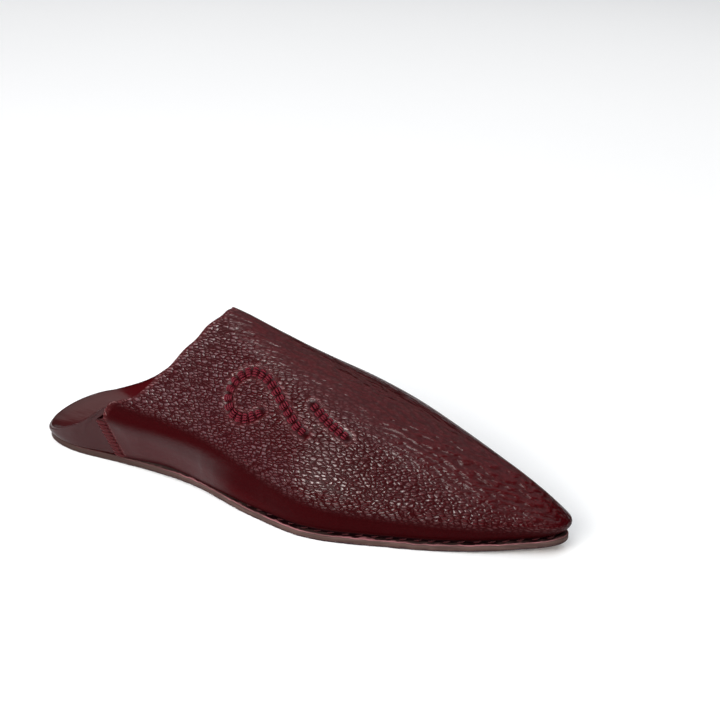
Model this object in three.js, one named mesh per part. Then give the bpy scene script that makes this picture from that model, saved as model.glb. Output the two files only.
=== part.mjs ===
// A leather babouche slipper, right foot, standing on its sole with the back trodden down.
// Millimetres. +X points to the toe, +Y to the inner side of the foot, +Z up.
// The floor is at Z = 0 and the origin is under the middle of the whole slipper.

import * as THREE from 'three';
import { mergeVertices } from 'three/addons/utils/BufferGeometryUtils.js';

// Driving dimensions of the sole
const HEEL_END = -131.5;
const TOE_END = 135;
const SOLE_THICKNESS = 3.2;
const SOLE_EDGE_ROUND = 0.5;
const MIDSOLE_THICKNESS = 1.0;
const MIDSOLE_INSET = 2.4;
const MIDSOLE_BACK = -6;
const BED_RAMP = 23;
const INSOLE_THICKNESS = 1.0;
const INSOLE_INSET = 3.9;
const GAP = 0.3;
const ARCH = { middle: -45, reach: 50, height: 0.9 };
const TOE_SPRING = { start: 72, height: 5.6 };

// Driving dimensions of the upper
const VAMP_WALL = 1.4;
const QUARTER_WALL = 1.1;
const SEAM_WALL = 1.2;
const SEAM_RELIEF = 0.5;
const SEAM_STITCHES = 10;
const WAIST_GAPE = { middle: -52, reach: 22, height: 1.0 };

// Fullness of the sole's outline: half the width of the ellipse that it follows at each place.
const OUTLINE = [
  { x: -131.5, lateral: 84, medial: 84 },
  { x: -128, lateral: 77.5, medial: 77.0 },
  { x: -120, lateral: 63.0, medial: 61.5 },
  { x: -108, lateral: 51.8, medial: 51.0 },
  { x: -81, lateral: 37.2, medial: 39.2 },
  { x: -40, lateral: 32.6, medial: 32.9 },
  { x: 0, lateral: 41.2, medial: 37.0 },
  { x: 32, lateral: 47.0, medial: 45.0 },
  { x: 67, lateral: 40.6, medial: 42.3 },
  { x: 102, lateral: 32.9, medial: 32.8 },
  { x: 122, lateral: 28.1, medial: 27.2 },
  { x: 135, lateral: 30.4, medial: 30.4 },
];

// Forms of the vamp, a row for each section from the back to the toe.
// foot: how far inside the sole's edge the wall stands. swell: how far the wall bulges out.
// shoulder and lean: height of the turn from wall to roof, and how far inside the edge it lies.
// crease: 1 for a sharp shoulder, 0 for none. crown: height of the middle ridge.
// broad: roundness of the ridge, as a share of the half width.
// The roof leaves the shoulder along a handle that is a share of its own width, and even a shoulder
// with no crease turns a little towards the ridge.
const ROOF_HANDLE = 0.36;
const SOFT_TURN = 0.25;
const SECTIONS = [
  { x: -95, foot: 0.7, swell: 0.4, shoulder: 31, lean: 0.9, crease: 0.75, crown: 82.0, broad: 0.2 },
  { x: -60, foot: 0.7, swell: 0.4, shoulder: 30, lean: 1.2, crease: 0.75, crown: 82.0, broad: 0.2 },
  { x: -32, foot: 0.8, swell: 0.6, shoulder: 27, lean: 1.6, crease: 0.7, crown: 79.0, broad: 0.2 },
  { x: -5, foot: 1.2, swell: 0.9, shoulder: 27, lean: 3.0, crease: 0.5, crown: 71.2, broad: 0.28 },
  { x: 20, foot: 1.8, swell: 1.6, shoulder: 27, lean: 4.2, crease: 0.1, crown: 63.8, broad: 0.32 },
  { x: 50, foot: 2.0, swell: 2.0, shoulder: 26, lean: 4.8, crease: 0.0, crown: 55.4, broad: 0.36 },
  { x: 80, foot: 2.0, swell: 2.2, shoulder: 23, lean: 4.6, crease: 0.0, crown: 45.1, broad: 0.38 },
  { x: 110, foot: 1.8, swell: 2.4, shoulder: 19, lean: 2.4, crease: 0.2, crown: 33.2, broad: 0.36 },
  { x: 128, foot: 1.7, swell: 2.2, shoulder: 16.5, lean: 0.2, crease: 0.45, crown: 22.0, broad: 0.3 },
  { x: 135, foot: 1.6, swell: 1.8, shoulder: 15.5, lean: -0.8, crease: 0.55, crown: 17.0, broad: 0.3 },
];

// The ribs of the toe fan out from the ridge: they leave the outline at x and meet the ridge at ridge.
const FAN = [
  { x: -95, ridge: -95 },
  { x: 40, ridge: 40 },
  { x: 80, ridge: 75 },
  { x: 115, ridge: 97 },
  { x: 135, ridge: 106 },
];

// The collar, from the corner of the wing (roof 0) over the roof to the ridge (roof 1).
const COLLAR = [
  { roof: 0, x: -84.0 },
  { roof: 0.06, x: -77.0 },
  { roof: 0.13, x: -69.5 },
  { roof: 0.28, x: -59.2 },
  { roof: 0.5, x: -48.2 },
  { roof: 0.75, x: -38.2 },
  { roof: 1, x: -32.0 },
];

// The side seam leans back as it rises, and the rounded tip of the wing goes on above it.
const SEAM = { foot: -76.4, top: -89.3, height: 20.3, halfWidth: 1.55 };
const WING_TIP = [
  { z: 20.3, x: -87.4 },
  { z: 24, x: -87.2 },
  { z: 27.5, x: -85.8 },
  { z: 31, x: -84.0 },
];
const QUARTER_TIP = [
  { z: 21, x: -92.2 },
  { z: 25.4, x: -89.0 },
];

// The trodden back, a row for each place of its fold: the fold's height, how far inside the sole's
// edge its wall stands at the foot and at the fold, and how far it bulges between.
const FOLD_ROUND = 1.4;
const FOLD = [
  { x: -131.5, height: 6.8, foot: 0.2, lean: 0.2, swell: 0.5 },
  { x: -127, height: 7.1, foot: 0.0, lean: 0.0, swell: 0.7 },
  { x: -120, height: 8.3, foot: -0.2, lean: -0.4, swell: 0.8 },
  { x: -107, height: 13.8, foot: 0.1, lean: -0.2, swell: 0.5 },
  { x: -98, height: 19.4, foot: 0.4, lean: 0.2, swell: 0.4 },
  { x: -88, height: 26.8, foot: 0.7, lean: 0.8, swell: 0.4 },
];

// The free edge of the flap inside: how far forward it lies at its middle and its corners, how wide
// it is, and how its corners rise. The other values shape the curve from the fold down to the edge.
const FLAP_EDGE = { middle: -79, corner: -86, halfWidth: 20, rise: 13, spread: 1.1, riseCurve: 2.5 };
const FLAP_CURVE = { turnGain: 1.3, turnLeast: 0.1, turnMost: 1.2, start: 0.3, end: 0.45, sag: 0.12 };

// Fineness of the meshes
const OUTLINE_STEPS = 44;
const VAMP_STEPS = 34;
const ROW_SPACING = 0.95;
const WALL_STEP = 0.04;
const WING_RISES = [0, 0.3, 0.615, 0.8, 1];
const QUARTER_RISES = [0, 0.28, 0.56, 0.84, 1];
const ROOF_STEPS = 8;
const QUARTER_STEPS = 22;
const FOLD_STEPS = 5;
const FLAP_STEPS = 7;

// Smooth curve through one column of a table, read at one value of its key column.
function smooth(rows, key, column, at) {
  const last = rows.length - 1;
  const slope = (a, b) => (rows[b][column] - rows[a][column]) / (rows[b][key] - rows[a][key]);
  const clamped = Math.min(Math.max(at, rows[0][key]), rows[last][key]);
  let i = 0;
  while (i < last - 1 && clamped > rows[i + 1][key]) i += 1;
  const width = rows[i + 1][key] - rows[i][key];
  const t = (clamped - rows[i][key]) / width;
  const before = i > 0 ? slope(i - 1, i + 1) : slope(i, i + 1);
  const after = i + 1 < last ? slope(i, i + 2) : slope(i, i + 1);
  const start = rows[i][column];
  const end = rows[i + 1][column];
  return start * (1 + 2 * t) * (1 - t) ** 2 + before * width * t * (1 - t) ** 2
    + end * t * t * (3 - 2 * t) + after * width * t * t * (t - 1);
}

const mix = (a, b, t) => a + (b - a) * t;

function ease(from, to, at) {
  const t = Math.min(Math.max((at - from) / (to - from), 0), 1);
  return t * t * (3 - 2 * t);
}

// The outline is walked by its turn: 0 at the heel tip, half a circle at the toe tip.
const MIDDLE = (HEEL_END + TOE_END) / 2;
const HALF = (TOE_END - HEEL_END) / 2;
const turnAt = (x) => Math.acos(Math.min(Math.max((MIDDLE - x) / HALF, -1), 1));
const alongAt = (turn) => MIDDLE - HALF * Math.cos(turn);
const OUTLINE_BY_TURN = OUTLINE.map((row) => ({ ...row, turn: turnAt(row.x) }));

// side is -1 on the lateral side and 1 on the medial side.
function outlinePoint(turn, side) {
  const column = side < 0 ? 'lateral' : 'medial';
  const full = smooth(OUTLINE_BY_TURN, 'turn', column, turn);
  return new THREE.Vector2(alongAt(turn), side * Math.sin(turn) * full);
}

// The outline's point moved inwards by inset, square to the outline.
function insetPoint(turn, side, inset) {
  const step = 1e-3;
  const tangent = outlinePoint(turn + step, side).sub(outlinePoint(turn - step, side)).normalize();
  const inward = new THREE.Vector2(side * tangent.y, -side * tangent.x);
  return outlinePoint(turn, side).addScaledVector(inward, inset);
}

// How high the sole lifts off the floor, under the arch and at the toe.
function lift(x) {
  const u = Math.min(Math.abs(x - ARCH.middle) / ARCH.reach, 1);
  const v = Math.max(x - TOE_SPRING.start, 0) / (TOE_END - TOE_SPRING.start);
  return ARCH.height * (1 - u * u) ** 2 + TOE_SPRING.height * v * v;
}

// A triangle soup that becomes one closed body.
class Body {
  constructor() {
    this.soup = [];
  }

  triangle(a, b, c) {
    const near = 1e-5;
    if (a.distanceTo(b) < near || b.distanceTo(c) < near || c.distanceTo(a) < near) return;
    this.soup.push(a.x, a.y, a.z, b.x, b.y, b.z, c.x, c.y, c.z);
  }

  quad(a, b, c, d) {
    this.triangle(a, b, c);
    this.triangle(a, c, d);
  }

  // Rows of points become a sheet, and a reversed sheet faces the other way.
  sheet(rows, reversed = false) {
    for (let i = 0; i + 1 < rows.length; i += 1) {
      for (let j = 0; j + 1 < rows[i].length; j += 1) {
        const corners = [rows[i][j], rows[i + 1][j], rows[i + 1][j + 1], rows[i][j + 1]];
        if (reversed) corners.reverse();
        this.quad(...corners);
      }
    }
  }

  geometry() {
    let volume = 0;
    for (let i = 0; i < this.soup.length; i += 9) {
      const [a, b, c] = [0, 3, 6].map((k) => new THREE.Vector3().fromArray(this.soup, i + k));
      volume += a.dot(b.cross(c)) / 6;
    }
    if (volume < 0) {
      for (let i = 0; i < this.soup.length; i += 9) {
        for (let k = 0; k < 3; k += 1) {
          const kept = this.soup[i + 3 + k];
          this.soup[i + 3 + k] = this.soup[i + 6 + k];
          this.soup[i + 6 + k] = kept;
        }
      }
    }
    const loose = new THREE.BufferGeometry();
    loose.setAttribute('position', new THREE.Float32BufferAttribute(this.soup, 3));
    const merged = mergeVertices(loose, 1e-4);
    merged.computeVertexNormals();
    return merged;
  }
}

// The inner face of a wall: the outer face moved inwards along its own normals.
function innerFace(rows, wall) {
  const normals = new Map();
  const key = (p) => p.toArray().map((v) => Math.round(v * 1000) + 0).join(' ');
  const add = (a, b, c) => {
    const face = b.clone().sub(a).cross(c.clone().sub(a));
    for (const p of [a, b, c]) {
      if (!normals.has(key(p))) normals.set(key(p), new THREE.Vector3());
      normals.get(key(p)).add(face);
    }
  };
  for (let i = 0; i + 1 < rows.length; i += 1) {
    for (let j = 0; j + 1 < rows[i].length; j += 1) {
      add(rows[i][j], rows[i + 1][j], rows[i + 1][j + 1]);
      add(rows[i][j], rows[i + 1][j + 1], rows[i][j + 1]);
    }
  }
  return rows.map((row) => row.map((p) => {
    const normal = normals.get(key(p)).clone().normalize();
    return p.clone().addScaledVector(normal, -wall);
  }));
}

// A sheet of leather with a real thickness. Its rims are closed, except a last row that folds on itself.
function leather(outer, inner, foldedEnd) {
  const body = new Body();
  body.sheet(outer);
  body.sheet(inner, true);
  const columns = outer[0].length - 1;
  for (let i = 0; i + 1 < outer.length; i += 1) {
    body.quad(outer[i][0], inner[i][0], inner[i + 1][0], outer[i + 1][0]);
    body.quad(outer[i + 1][columns], inner[i + 1][columns], inner[i][columns], outer[i][columns]);
  }
  for (let j = 0; j < columns; j += 1) {
    body.quad(outer[0][j + 1], inner[0][j + 1], inner[0][j], outer[0][j]);
    if (foldedEnd) continue;
    const end = outer.length - 1;
    body.quad(outer[end][j], inner[end][j], inner[end][j + 1], outer[end][j + 1]);
  }
  return body.geometry();
}

// A layer of the sole: rings of the outline, each at its own inset and height, from a turn to the toe.
function layer(rings, start) {
  const body = new Body();
  const steps = Math.ceil(OUTLINE_STEPS * (1 - start / Math.PI));
  const turns = Array.from({ length: steps + 1 }, (_, i) => mix(start, Math.PI, i / steps));
  const line = (ring, side) => turns.map((turn) => {
    const p = insetPoint(turn, side, ring.inset);
    return new THREE.Vector3(p.x, p.y, lift(p.x) + ring.height(p.x));
  });
  const lateral = rings.map((ring) => line(ring, -1));
  const medial = rings.map((ring) => line(ring, 1));
  const last = rings.length - 1;
  body.sheet(lateral);
  body.sheet(medial, true);
  body.sheet([lateral[0], medial[0]], true);
  body.sheet([lateral[last], medial[last]]);
  if (start > 0) body.sheet([lateral.map((row) => row[0]), medial.map((row) => row[0])]);
  return body.geometry();
}

// Heights over the lift. The midsole lies under the forepart only, and what lies on it steps down behind it.
const MIDSOLE_FLOOR = SOLE_THICKNESS + GAP;
const MIDSOLE_TOP = MIDSOLE_FLOOR + MIDSOLE_THICKNESS;
const MIDSOLE_START = MIDSOLE_BACK - 1;

function bedHeight(x) {
  return mix(MIDSOLE_FLOOR, MIDSOLE_TOP + GAP, ease(MIDSOLE_START - BED_RAMP, MIDSOLE_START, x));
}

// The upper's foot follows the bed, and gapes a little over the waist of the sole.
function footHeight(x) {
  const slack = Math.max(1 - ((x - WAIST_GAPE.middle) / WAIST_GAPE.reach) ** 2, 0);
  return lift(x) + bedHeight(x) + WAIST_GAPE.height * slack * slack;
}

// A point of the side wall: rise is 0 at the foot and 1 at the shoulder.
function wallPoint(turn, side, rise, shoulder, form) {
  const inset = mix(form.foot, form.lean, rise * rise) - form.swell * 4 * rise * (1 - rise);
  const p = insetPoint(turn, side, inset);
  return new THREE.Vector3(p.x, p.y, mix(footHeight(p.x), shoulder, rise));
}

function formAt(x) {
  const names = ['foot', 'swell', 'shoulder', 'lean', 'crease', 'crown', 'broad'];
  return Object.fromEntries(names.map((name) => [name, smooth(SECTIONS, 'x', name, x)]));
}

// A point of the roof on one side: roof is 0 at the shoulder and 1 at the ridge.
function roofPoint(turn, side, roof) {
  const x = alongAt(turn);
  const form = formAt(x);
  const shoulder = wallPoint(turn, side, 1, form.shoulder, form);
  const below = wallPoint(turn, side, 1 - WALL_STEP, form.shoulder, form);
  const ridgeX = smooth(FAN, 'x', 'ridge', x);
  const ridge = new THREE.Vector3(ridgeX, 0, formAt(ridgeX).crown);
  const slope = (formAt(ridgeX + 1).crown - formAt(ridgeX - 1).crown) / 2;
  const outward = new THREE.Vector3(shoulder.x - ridge.x, shoulder.y, 0);
  const reach = outward.length();
  outward.normalize();
  const chord = ridge.clone().sub(shoulder);
  const straight = chord.clone().normalize();
  const upward = shoulder.clone().sub(below).normalize();
  const turnDirection = upward.lerp(straight, mix(SOFT_TURN, 1, form.crease)).normalize();
  const first = shoulder.clone().addScaledVector(turnDirection, ROOF_HANDLE * chord.length());
  const handle = form.broad * reach;
  const second = ridge.clone().addScaledVector(outward, handle);
  second.z += slope * outward.x * handle;
  return new THREE.CubicBezierCurve3(shoulder, first, second, ridge).getPoint(roof);
}

function vampPoint(turn, side, rise, roof) {
  if (roof > 0) return roofPoint(turn, side, roof);
  const form = formAt(alongAt(turn));
  return wallPoint(turn, side, rise, form.shoulder, form);
}

const seamMiddle = (z) => mix(SEAM.foot, SEAM.top, z / SEAM.height);

// Where the back edge of the vamp's wing lies at each height, and the edge of the quarter behind it
function wingEdge(z) {
  if (z > SEAM.height) return smooth(WING_TIP, 'z', 'x', z);
  return seamMiddle(z) + SEAM.halfWidth + GAP;
}

function quarterEdge(z) {
  if (z > QUARTER_TIP[0].z) return smooth(QUARTER_TIP, 'z', 'x', z);
  return seamMiddle(z) - SEAM.halfWidth - 3 * GAP;
}

function vampSolid() {
  const columns = [];
  for (const rise of WING_RISES) {
    const z = mix(footHeight(SEAM.foot), formAt(SEAM.top).shoulder, rise);
    columns.push({ rise, roof: 0, back: wingEdge(z) });
  }
  for (let j = 1; j <= ROOF_STEPS; j += 1) {
    const roof = j / ROOF_STEPS;
    columns.push({ rise: 1, roof, back: smooth(COLLAR, 'roof', 'x', roof) });
  }
  const rows = [];
  for (let i = 0; i <= VAMP_STEPS; i += 1) {
    const share = i / VAMP_STEPS;
    const half = (side) => columns.map(({ rise, roof, back }) => {
      const turn = mix(turnAt(back), Math.PI, share ** ROW_SPACING);
      return vampPoint(turn, side, rise, roof);
    });
    rows.push([...half(-1), ...half(1).reverse().slice(1)]);
  }
  const inner = innerFace(rows, VAMP_WALL);
  inner.forEach((row, i) => {
    row[0].z = rows[i][0].z;
    row[row.length - 1].z = rows[i][row.length - 1].z;
  });
  return leather(rows, inner, true);
}

// The wall of the back, from the seam round the heel: share is 0 at the heel tip and 1 at the seam.
function quarterWall(share, side, rise) {
  const seamTop = FOLD[FOLD.length - 1].height - FOLD_ROUND;
  const turn = turnAt(quarterEdge(mix(MIDSOLE_FLOOR, seamTop, rise))) * share;
  const foldX = alongAt(turnAt(quarterEdge(seamTop)) * share);
  const form = Object.fromEntries(
    ['height', 'foot', 'lean', 'swell'].map((name) => [name, smooth(FOLD, 'x', name, foldX)]),
  );
  return wallPoint(turn, side, rise, form.height - FOLD_ROUND, form);
}

const FLAP_TOP = MIDSOLE_FLOOR + INSOLE_THICKNESS + GAP + QUARTER_WALL;

// One rib of the back: up the wall, over the fold and down the flap to its free edge.
function quarterRib(share, side) {
  const points = QUARTER_RISES.map((rise) => quarterWall(share, side, rise));
  const top = points[points.length - 1];
  const spread = share ** FLAP_EDGE.spread;
  const end = new THREE.Vector3(
    mix(FLAP_EDGE.middle, FLAP_EDGE.corner, spread * spread),
    side * FLAP_EDGE.halfWidth * spread,
    lift(FLAP_EDGE.middle) + FLAP_TOP + FLAP_EDGE.rise * spread ** FLAP_EDGE.riseCurve,
  );
  const across = new THREE.Vector3(end.x - top.x, end.y - top.y, 0);
  const reach = across.length();
  across.normalize();
  const centre = top.clone().addScaledVector(across, FOLD_ROUND);
  const fall = Math.atan2(top.z - end.z, reach);
  const over = Math.min(FLAP_CURVE.turnGain * fall + FLAP_CURVE.turnLeast, FLAP_CURVE.turnMost);
  const sweep = Math.PI / 2 + over;
  for (let j = 1; j <= FOLD_STEPS; j += 1) {
    const angle = sweep * j / FOLD_STEPS;
    const point = centre.clone().addScaledVector(across, -FOLD_ROUND * Math.cos(angle));
    point.z += FOLD_ROUND * Math.sin(angle);
    points.push(point);
  }
  const start = points[points.length - 1];
  const length = start.distanceTo(end);
  const down = across.clone().multiplyScalar(Math.sin(sweep));
  down.z = Math.cos(sweep);
  const first = start.clone().addScaledVector(down, FLAP_CURVE.start * length);
  const second = end.clone().addScaledVector(across, -FLAP_CURVE.end * length);
  second.z += FLAP_CURVE.sag * (start.z - end.z);
  const flap = new THREE.CubicBezierCurve3(start, first, second, end);
  for (let j = 1; j <= FLAP_STEPS; j += 1) points.push(flap.getPoint(j / FLAP_STEPS));
  return points;
}

function quarterSolid() {
  const rows = [];
  for (let i = -QUARTER_STEPS; i <= QUARTER_STEPS; i += 1) {
    rows.push(quarterRib(Math.abs(i) / QUARTER_STEPS, i < 0 ? 1 : -1));
  }
  const inner = innerFace(rows, QUARTER_WALL);
  inner.forEach((row, i) => {
    row[0].z = rows[i][0].z;
  });
  return leather(rows, inner, false);
}

// The whip-stitched seam: a strip of the same wall, with a rib for each stitch.
function seamSolid(side) {
  const form = formAt(SEAM.foot);
  const foot = footHeight(SEAM.foot);
  const steps = SEAM_STITCHES * 2;
  const strip = (raise) => Array.from({ length: steps + 1 }, (_, i) => {
    const z = mix(foot, SEAM.height, i / steps);
    const rise = (z - foot) / (form.shoulder - foot);
    return [-1, 0, 1].map((across) => {
      const outward = raise(i, across);
      const raised = { ...form, foot: form.foot - outward, lean: form.lean - outward };
      const turn = turnAt(seamMiddle(z) + across * SEAM.halfWidth);
      return wallPoint(turn, side, rise, form.shoulder, raised).setZ(z);
    });
  });
  const ribs = strip((i, across) => (i % 2) * SEAM_RELIEF * (1 - Math.abs(across)));
  const back = strip(() => -SEAM_WALL);
  return leather(ribs, back, false);
}

function finish(color, roughness) {
  return new THREE.MeshStandardMaterial({ color, roughness, metalness: 0 });
}

const soleLeather = finish('#6b4f4a', 0.6);
const darkPly = finish('#2a1c1f', 0.75);
const lining = finish('#8a6a52', 0.8);
const vampLeather = finish('#5c1a24', 0.42);
const quarterLeather = finish('#4a262c', 0.32);
const seamThread = finish('#8c1f30', 0.6);

const outsole = layer([
  { inset: SOLE_EDGE_ROUND, height: () => 0 },
  { inset: 0, height: () => SOLE_EDGE_ROUND },
  { inset: 0, height: () => SOLE_THICKNESS - SOLE_EDGE_ROUND },
  { inset: SOLE_EDGE_ROUND, height: () => SOLE_THICKNESS },
], 0);
const midsole = layer([
  { inset: MIDSOLE_INSET, height: () => MIDSOLE_FLOOR },
  { inset: MIDSOLE_INSET, height: () => MIDSOLE_TOP },
], turnAt(MIDSOLE_BACK));
const insole = layer([
  { inset: INSOLE_INSET, height: bedHeight },
  { inset: INSOLE_INSET, height: (x) => bedHeight(x) + INSOLE_THICKNESS },
], 0);

const pieces = [
  ['outsole', outsole, soleLeather],
  ['midsole', midsole, darkPly],
  ['insole', insole, lining],
  ['upper_vamp', vampSolid(), vampLeather],
  ['heel_quarter', quarterSolid(), quarterLeather],
  ['side_seam_lateral', seamSolid(-1), seamThread],
  ['side_seam_medial', seamSolid(1), seamThread],
];

const slipper = new THREE.Group();
for (const [name, geometry, material] of pieces) {
  const mesh = new THREE.Mesh(geometry, material);
  mesh.name = name;
  slipper.add(mesh);
}

// The whole slipper is moved so that the origin is under its middle.
const bounds = new THREE.Box3().setFromObject(slipper);
slipper.position.set(-(bounds.min.x + bounds.max.x) / 2, -(bounds.min.y + bounds.max.y) / 2, -bounds.min.z);

export default slipper;
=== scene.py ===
# %% [markdown]
# # A leather babouche
#
# A babouche is a pointed slipper with a high soft front, a thin flat sole and a low back that the
# wearer treads down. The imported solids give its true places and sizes. This lesson dresses them:
# it makes each piece of leather again as a fine sheet, sews the sheets together, gives each its finish
# and lights the whole softly.
#
# Everything is measured in millimetres on the slipper's own pattern, with the toe along +X and the
# inner side of the foot along +Y, and is moved into the frame, in metres, at the very end.

# %% Load the frame
import math

import bmesh
import bpy
import numpy as np
from mathutils import Matrix, Vector, noise
from mathutils.bvhtree import BVHTree


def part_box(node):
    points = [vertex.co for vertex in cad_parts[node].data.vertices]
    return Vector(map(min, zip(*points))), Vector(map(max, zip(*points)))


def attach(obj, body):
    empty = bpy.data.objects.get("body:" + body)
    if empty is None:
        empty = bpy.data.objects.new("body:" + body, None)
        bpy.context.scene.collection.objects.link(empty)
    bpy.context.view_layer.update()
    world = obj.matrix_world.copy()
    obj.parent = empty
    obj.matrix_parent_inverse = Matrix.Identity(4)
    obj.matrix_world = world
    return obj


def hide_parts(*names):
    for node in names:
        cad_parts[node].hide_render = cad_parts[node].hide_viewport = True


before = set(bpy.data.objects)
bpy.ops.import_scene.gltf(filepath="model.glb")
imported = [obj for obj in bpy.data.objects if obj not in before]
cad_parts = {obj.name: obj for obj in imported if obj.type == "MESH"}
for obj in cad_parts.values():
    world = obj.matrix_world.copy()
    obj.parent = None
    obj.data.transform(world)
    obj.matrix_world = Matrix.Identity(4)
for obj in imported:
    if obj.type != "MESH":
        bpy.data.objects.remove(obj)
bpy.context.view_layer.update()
MM = 0.001
print("frame:", sorted(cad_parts))

# %% [markdown]
# ## The pattern
#
# A shoemaker keeps the shape of a shoe in a last and a few paper patterns. A sculpted mesh could hold
# it too, but short tables of measured rows are easier to read and to mend, so each form here is a
# small table, and one smooth curve runs through each of its columns. The helpers for that come first,
# with a few for mixing, easing and measuring along a line.


# %% Tables and smooth curves
def table(columns, *rows):
    """A table with named columns, each of them an array."""
    return dict(zip(columns.split(), np.array(rows, float).T))


def smooth(rows, key, column, at):
    """The smooth curve through one column, read at places along another."""
    x, y = rows[key], rows[column]
    at = np.clip(at, x[0], x[-1])
    i = np.clip(np.searchsorted(x, at) - 1, 0, len(x) - 2)
    slope = np.empty(len(x))
    slope[1:-1] = (y[2:] - y[:-2]) / (x[2:] - x[:-2])
    slope[0] = (y[1] - y[0]) / (x[1] - x[0])
    slope[-1] = (y[-1] - y[-2]) / (x[-1] - x[-2])
    width = x[i + 1] - x[i]
    t = (at - x[i]) / width
    rise = y[i] * (1 + 2 * t) * (1 - t) ** 2 + y[i + 1] * t * t * (3 - 2 * t)
    return rise + slope[i] * width * t * (1 - t) ** 2 + slope[i + 1] * width * t * t * (t - 1)


# %% Mixing, easing and measuring
def mix(a, b, t):
    """From a at t = 0 to b at t = 1."""
    return a + (b - a) * t


def ease(start, end, at):
    """A soft step from 0 at start to 1 at end."""
    t = np.clip((at - start) / (end - start), 0, 1)
    return t * t * (3 - 2 * t)


def unit(vectors):
    """The same directions, each one long."""
    return vectors / np.maximum(np.linalg.norm(vectors, axis=-1, keepdims=True), 1e-12)


def bent_curve(start, first, second, end, t):
    """A curve from start to end that sets off towards first and comes in from second."""
    return (start * (1 - t) ** 3 + first * 3 * t * (1 - t) ** 2
            + second * 3 * t * t * (1 - t) + end * t**3)


def run_along(path):
    """How far along a path of points each of them is."""
    return np.concatenate([[0], np.cumsum(np.linalg.norm(np.diff(path, axis=0), axis=1))])


def read_rows(at, places, rows):
    """Rows of numbers, read in between at some places."""
    return np.stack([np.interp(at, places, rows[:, axis]) for axis in range(rows.shape[1])], -1)


def bow_over(count):
    """A round bow: 0 at both ends and 1 in the middle."""
    return np.sin(np.linspace(0, math.pi, count))


# %% [markdown]
# ## The outline of the sole
#
# The sole is a long leaf, a little fuller on the outer side at the ball of the foot. It could be traced
# as a Bezier curve, but a table of half widths is easier to keep true to measured places. A turn runs
# from 0 at the heel to half a circle at the toe, and each half width is the table's number times the
# sine of the turn, so both ends come out round.

# %% The table of the outline
HEEL_END, TOE_END = -131.5, 135.0
SOLE_THICKNESS, MIDSOLE_THICKNESS, INSOLE_THICKNESS, GAP = 3.2, 1.0, 1.0, 0.3
MIDSOLE_INSET, INSOLE_INSET, MIDSOLE_BACK, BED_RAMP = 2.4, 3.9, -6.0, 23.0
OUTLINE = table(
    "x lateral medial",
    (-131.5, 84, 84), (-128, 77.5, 77), (-120, 63, 61.5), (-108, 51.8, 51),
    (-81, 37.2, 39.2), (-40, 32.6, 32.9), (0, 41.2, 37), (32, 47, 45),
    (67, 40.6, 42.3), (102, 32.9, 32.8), (122, 28.1, 27.2), (135, 30.4, 30.4),
)
MIDDLE, HALF = (HEEL_END + TOE_END) / 2, (TOE_END - HEEL_END) / 2
print("pattern length, mm:", TOE_END - HEEL_END)


# %% The outline, and the edge moved inwards
def turn_at(x):
    """The turn at a place along the shoe."""
    return np.arccos(np.clip((MIDDLE - x) / HALF, -1, 1))


def along_at(turn):
    """The place along the shoe at a turn."""
    return MIDDLE - HALF * np.cos(turn)


OUTLINE["turn"] = turn_at(OUTLINE["x"])


def outline(turn, side):
    """The sole's edge: side is -1 on the outer side of the foot and 1 on the inner side."""
    full = smooth(OUTLINE, "turn", "lateral" if side < 0 else "medial", turn)
    return np.stack([along_at(turn), side * np.sin(turn) * full], -1)


def inside(turn, side, inset):
    """The edge moved inwards, square to itself."""
    tangent = unit(outline(turn + 1e-3, side) - outline(turn - 1e-3, side))
    inward = np.stack([side * tangent[..., 1], -side * tangent[..., 0]], -1)
    return outline(turn, side) + inward * np.asarray(inset)[..., None]


# %% Arch, toe spring and bed
ARCH = {"middle": -45.0, "reach": 50.0, "height": 0.9}
TOE_SPRING = {"start": 72.0, "height": 5.6}


def lift(x):
    """How high the sole stands off the floor, under the arch and at the toe."""
    from_arch = np.minimum(np.abs(x - ARCH["middle"]) / ARCH["reach"], 1)
    spring = np.maximum(x - TOE_SPRING["start"], 0) / (TOE_END - TOE_SPRING["start"])
    return ARCH["height"] * (1 - from_arch**2) ** 2 + TOE_SPRING["height"] * spring**2


BED_LOW = SOLE_THICKNESS + GAP
BED_HIGH = BED_LOW + MIDSOLE_THICKNESS + GAP


def bed(x):
    """Height of what the upper and the insole lie on, over the sole's lift."""
    return mix(BED_LOW, BED_HIGH, ease(MIDSOLE_BACK - 1 - BED_RAMP, MIDSOLE_BACK - 1, x))


# %% From the pattern to the frame
sole_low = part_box("outsole")[0]
half_turns = np.linspace(0, math.pi, 241)
SHIFT = np.array([
    sole_low.x / MM - HEEL_END,
    sole_low.y / MM - outline(half_turns, -1)[:, 1].min(),
    0.0,
])
print("pattern to frame, mm:", SHIFT.round(3))

# %% [markdown]
# ## The camera
#
# The picture is taken from the outer side, a little before the middle and from above, so that the
# long wall, the curl and the open back all show. A long lens from some way off keeps the proportions
# true. A constraint could aim the camera, but fixed angles give the same picture every time: the
# direction it stands in, and a small turn and nod that place the slipper in the frame.

# %% Camera
AZIMUTH, ELEVATION, DISTANCE = math.radians(30.07), math.radians(28.07), 725.0
YAW, PITCH = math.radians(-2.40), math.radians(4.37)
FILM_WIDTH, LENS, NEAREST = 36.0, 77.19, 0.05

camera = bpy.data.objects.new("camera", bpy.data.cameras.new("camera"))
bpy.context.scene.collection.objects.link(camera)
bpy.context.scene.camera = camera
camera.data.sensor_width = FILM_WIDTH
camera.data.lens = LENS
camera.data.clip_start = NEAREST


def direction(azimuth, elevation):
    """A direction from the slipper. Azimuth 0 is on the outer side, 90 degrees at the toe."""
    flat = math.cos(elevation)
    return Vector((math.sin(azimuth) * flat, -math.cos(azimuth) * flat, math.sin(elevation)))


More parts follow.
